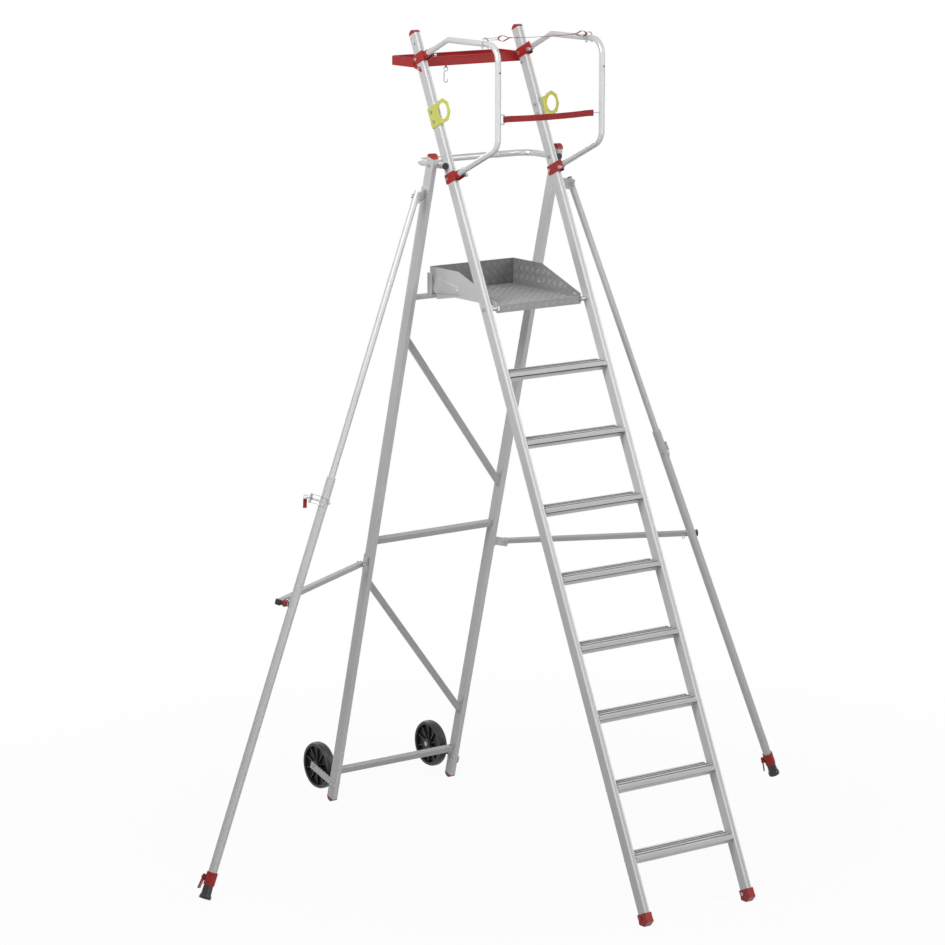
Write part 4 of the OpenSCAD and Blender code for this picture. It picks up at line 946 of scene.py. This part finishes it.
rivets, bolts, buttons, hole_shades = [], [], [], []
for y, z in RIVET_SPOTS:
    rivets += [revolve(RIVET, (sign * DECK_IN, DECK_FRONT + y, z), (-sign, 0, 0)) for _, sign in SIDES]
for _, sign in SIDES:
    bolt_at = (sign * (DECK_HALF + BOLT_OUT), DECK_FRONT + BOLT_BACK, DECK_Z + BOLT_UP)
    bolts.append(revolve(RIVET * BOLT_SIZE, bolt_at, (sign, 0, 0)))
    button_at = (sign * STILE_X, RAIL_Y - RAIL_R + BUTTON_SINK, BUTTON_Z)
    buttons.append(revolve(RIVET * BUTTON_SIZE, button_at, (0, -1, 0)))
    for x, face in ((STILE_OUT, sign), (STILE_IN, -sign)):
        # A thin dark disc on each face of the stile: painted shade in the hole.
        hole_shades.append(revolve(WELL, on_stile(sign * x, HOLE_S), (face, 0, 0)))
add_piece("deck_rivets", tubes(rivets + bolts), "platform", alu_plate)
add_piece("dark_buttons_and_hole_shades", tubes(buttons + hole_shades), "ladder", black_plastic)

# %% [markdown]
# ## Weld beads
# The crossbars and diagonals are welded to the legs. A bead is a small circle carried
# round the outline of the bar, and its radius ripples, as a laid bead does.

# %% Beads round the bar ends
BAR, REST_BAR, BEAD_R, RIPPLES = 0.025, 0.018, 0.0017, 26
BEAD_POINTS, BEAD_EASE, BEAD_OFF, BEAD_SWELL = 104, 0.3, 0.0004, 0.16
LOW_S, MID_S, REST_S = 0.144, 1.227, 2.309264
SLOPES = ((REST_S - 0.183, MID_S + 0.192), (MID_S - 0.192, LOW_S + 0.192))
BEAD_X = LEG_IN - 0.0006
WELD_TONES, WELD_METAL = ((0.46, 0.46, 0.47), (0.62, 0.62, 0.63)), 0.4


def bead(x, s, tall, width=BAR):
    """A rippled ring round a bar end on a leg; tall stretches it along the leg for a sloping bar."""
    t = np.linspace(0, 2 * np.pi, BEAD_POINTS, endpoint=False)
    ring = eased(circle(1.0, BEAD_POINTS), BEAD_EASE) * (width / 2 + BEAD_OFF)
    middle_line = np.array([x, LEG_FOOT_Y, 0]) + s * LEG_UP
    path = middle_line + ring[:, :1] * LEG_BACK + ring[:, 1:] * tall * LEG_UP
    swell = 1 + BEAD_SWELL * np.sin(RIPPLES * t)
    return sweep(path, ACROSS, circle(BEAD_R, 8)[None] * swell[:, None, None], closed=True)


bar_ends = ((LOW_S, BAR), (MID_S, BAR), (REST_S, REST_BAR))
beads = [bead(sign * BEAD_X, s, 1.0, width) for _, sign in SIDES for s, width in bar_ends]
for upper, lower in SLOPES:
    stretch = math.hypot(upper - lower, 2 * LEG_IN) / (2 * LEG_IN)
    beads += [bead(-BEAD_X, upper, stretch), bead(BEAD_X, lower, stretch)]
weld_metal = make_finish("weld_metal", WELD_TONES, (0.4, 0.55), even_grain(0.002), 0.0002, WELD_METAL)
add_piece("weld_beads", rings(beads), "rear_frame", weld_metal)

# %% [markdown]
# ## Hem of the tool tray
# The sheet of the tray is rolled over at the top, which makes its rim look thicker than
# the wall. An eased bead runs round the rim, with rounded corners.

# %% Tray hem
TRAY_X, TRAY_FRONT, TRAY_D, TRAY_TOP = 0.2661, 1.50626 - MIDDLE_Y, 0.1472, 3.176
HEM_W, HEM_H, HEM_EASE, HEM_POINTS = 0.0044, 0.006, 0.6, 12


def rim_path(half_x, front, depth, z, corner=0.006, steps=8):
    """A level rectangle with rounded corners: four quarter circles joined by straights."""
    a = np.linspace(0, np.pi / 2, steps)
    arcs = []
    for k, (right, back) in enumerate(((1, 0), (1, 1), (0, 1), (0, 0))):
        cx = (half_x - corner) * (1 if right else -1)
        cy = front + (depth - corner if back else corner)
        turn = a + (k - 1) * np.pi / 2
        arcs.append(np.stack([cx + corner * np.cos(turn), cy + corner * np.sin(turn)], -1))
    flat = np.concatenate(arcs)
    return np.column_stack([flat, np.full(len(flat), z)])


rim = rim_path(TRAY_X, TRAY_FRONT, TRAY_D, TRAY_TOP)
hem = sweep(rim, UP, soft_box(HEM_W, HEM_H, HEM_EASE, HEM_POINTS), closed=True)
add_piece("tray_hem", rings([hem]), "ladder", red_paint)

# %% [markdown]
# ## The studio
# A white floor and white surroundings, as in the photograph. More light would make them
# white too, but would bleach the object. So what the camera or a shiny surface sees of
# them is plain white, and the floor keeps a share of real shading near the object, so
# that the soft shadow under the feet stays.

# %% White surroundings
SKY_LEVEL, WHITE = 0.1, (1, 1, 1, 1)


def seen_ray(tree):
    """1 for a ray from the camera, a gloss or a clear surface, 0 for other rays."""
    rays = tree.nodes.new("ShaderNodeLightPath").outputs
    first = math_step(tree, "MAXIMUM", rays["Is Camera Ray"], rays["Is Glossy Ray"])
    return math_step(tree, "MAXIMUM", first, rays["Is Transmission Ray"])


def mix_shaders(tree, share, low, high, output):
    """Joins two shaders by a share and sends the result to an output node."""
    either = tree.nodes.new("ShaderNodeMixShader")
    for socket, value in zip(either.inputs, (share, low.outputs[0], high.outputs[0])):
        tree.links.new(value, socket)
    tree.links.new(either.outputs[0], tree.nodes[output].inputs["Surface"])


world = bpy.data.worlds.new("white_studio")
world.use_nodes = True
scene.world = world
tree = world.node_tree
soft = node(tree, "ShaderNodeBackground", Color=WHITE, Strength=SKY_LEVEL)
white = node(tree, "ShaderNodeBackground", Color=WHITE, Strength=1.0)
mix_shaders(tree, seen_ray(tree), soft, white, "World Output")
print("white surroundings, sky level", SKY_LEVEL)

# %% Floor
FLOOR_SIZE, FLOOR_Z, SHADOW_SHARE, SHADOW_REACH = 60.0, -0.0004, 0.06, 4.0
FLOOR_SEEN, FLOOR_BOUNCE = (0.9, 0.9, 0.9), (0.3, 0.3, 0.3)

edge = np.linspace(-FLOOR_SIZE, FLOOR_SIZE, 3)
gx, gy = np.meshgrid(edge, edge, indexing="ij")
ground = np.stack([gx, gy, np.full_like(gx, FLOOR_Z)], -1)
floor = bpy.data.objects.new("floor", grid_mesh("floor", [(ground, False, False)]))
scene.collection.objects.link(floor)

pale, tree, unused_shader = new_finish("pale_floor")
tree.nodes.remove(unused_shader)
shade = tree.nodes.new("ShaderNodeBsdfDiffuse")
tree.links.new(blend(tree, seen_ray(tree), FLOOR_BOUNCE, FLOOR_SEEN), shade.inputs["Color"])
glow = node(tree, "ShaderNodeEmission", Color=WHITE, Strength=1.0)
place = tree.nodes.new("ShaderNodeTexCoord")
distance = tree.nodes.new("ShaderNodeVectorMath")
distance.operation = "LENGTH"
tree.links.new(place.outputs["Object"], distance.inputs[0])
fade = ramp(tree, distance.outputs["Value"], 0.0, SHADOW_REACH, 1 - SHADOW_SHARE, 1.0)
fade.interpolation_type = "SMOOTHSTEP"
plain_white = math_step(tree, "MULTIPLY", fade.outputs["Result"], seen_ray(tree))
mix_shaders(tree, plain_white, shade, glow, "Material Output")
floor.data.materials.append(pale)
print("floor", 2 * FLOOR_SIZE, "m wide, shading kept near the object", SHADOW_SHARE)

# %% [markdown]
# ## Lamps
# In the photograph the fronts of the stiles are bright all the way down, and the sides that
# face left are bright at the top and get dimmer towards the ground. So one soft lamp stands
# near the top at the left, and three at the front light the fronts evenly. One more stands
# behind, so that the rear frame reads well when the part is turned round.

# %% Soft lamps
LAMPS = (  # name, place, target, side in metres, power in watts
    ("left", (-2.7, -1.0, 4.3), (0.0, 0.0, 2.4), 1.6, 77.0),
    ("front", (3.0, -5.5, 3.6), (0.0, 0.0, 1.6), 3.0, 50.0),
    ("low", (-0.6, -5.6, 1.2), (-0.3, 0.0, 0.9), 2.0, 45.0),
    ("high", (4.6, -5.2, 6.0), (0.0, 0.0, 1.8), 3.0, 100.0),
    ("back", (1.5, 6.5, 4.2), (0.0, 0.0, 1.6), 3.0, 90.0),
)
for name, at, target, size, power in LAMPS:
    lamp = bpy.data.lights.new(name, "AREA")
    lamp.shape = "SQUARE"
    lamp.size = size
    lamp.energy = power
    holder = bpy.data.objects.new(name, lamp)
    holder.location = at
    holder.rotation_euler = (Vector(target) - Vector(at)).to_track_quat("-Z", "Y").to_euler()
    scene.collection.objects.link(holder)
    print("lamp", name, power, "W")
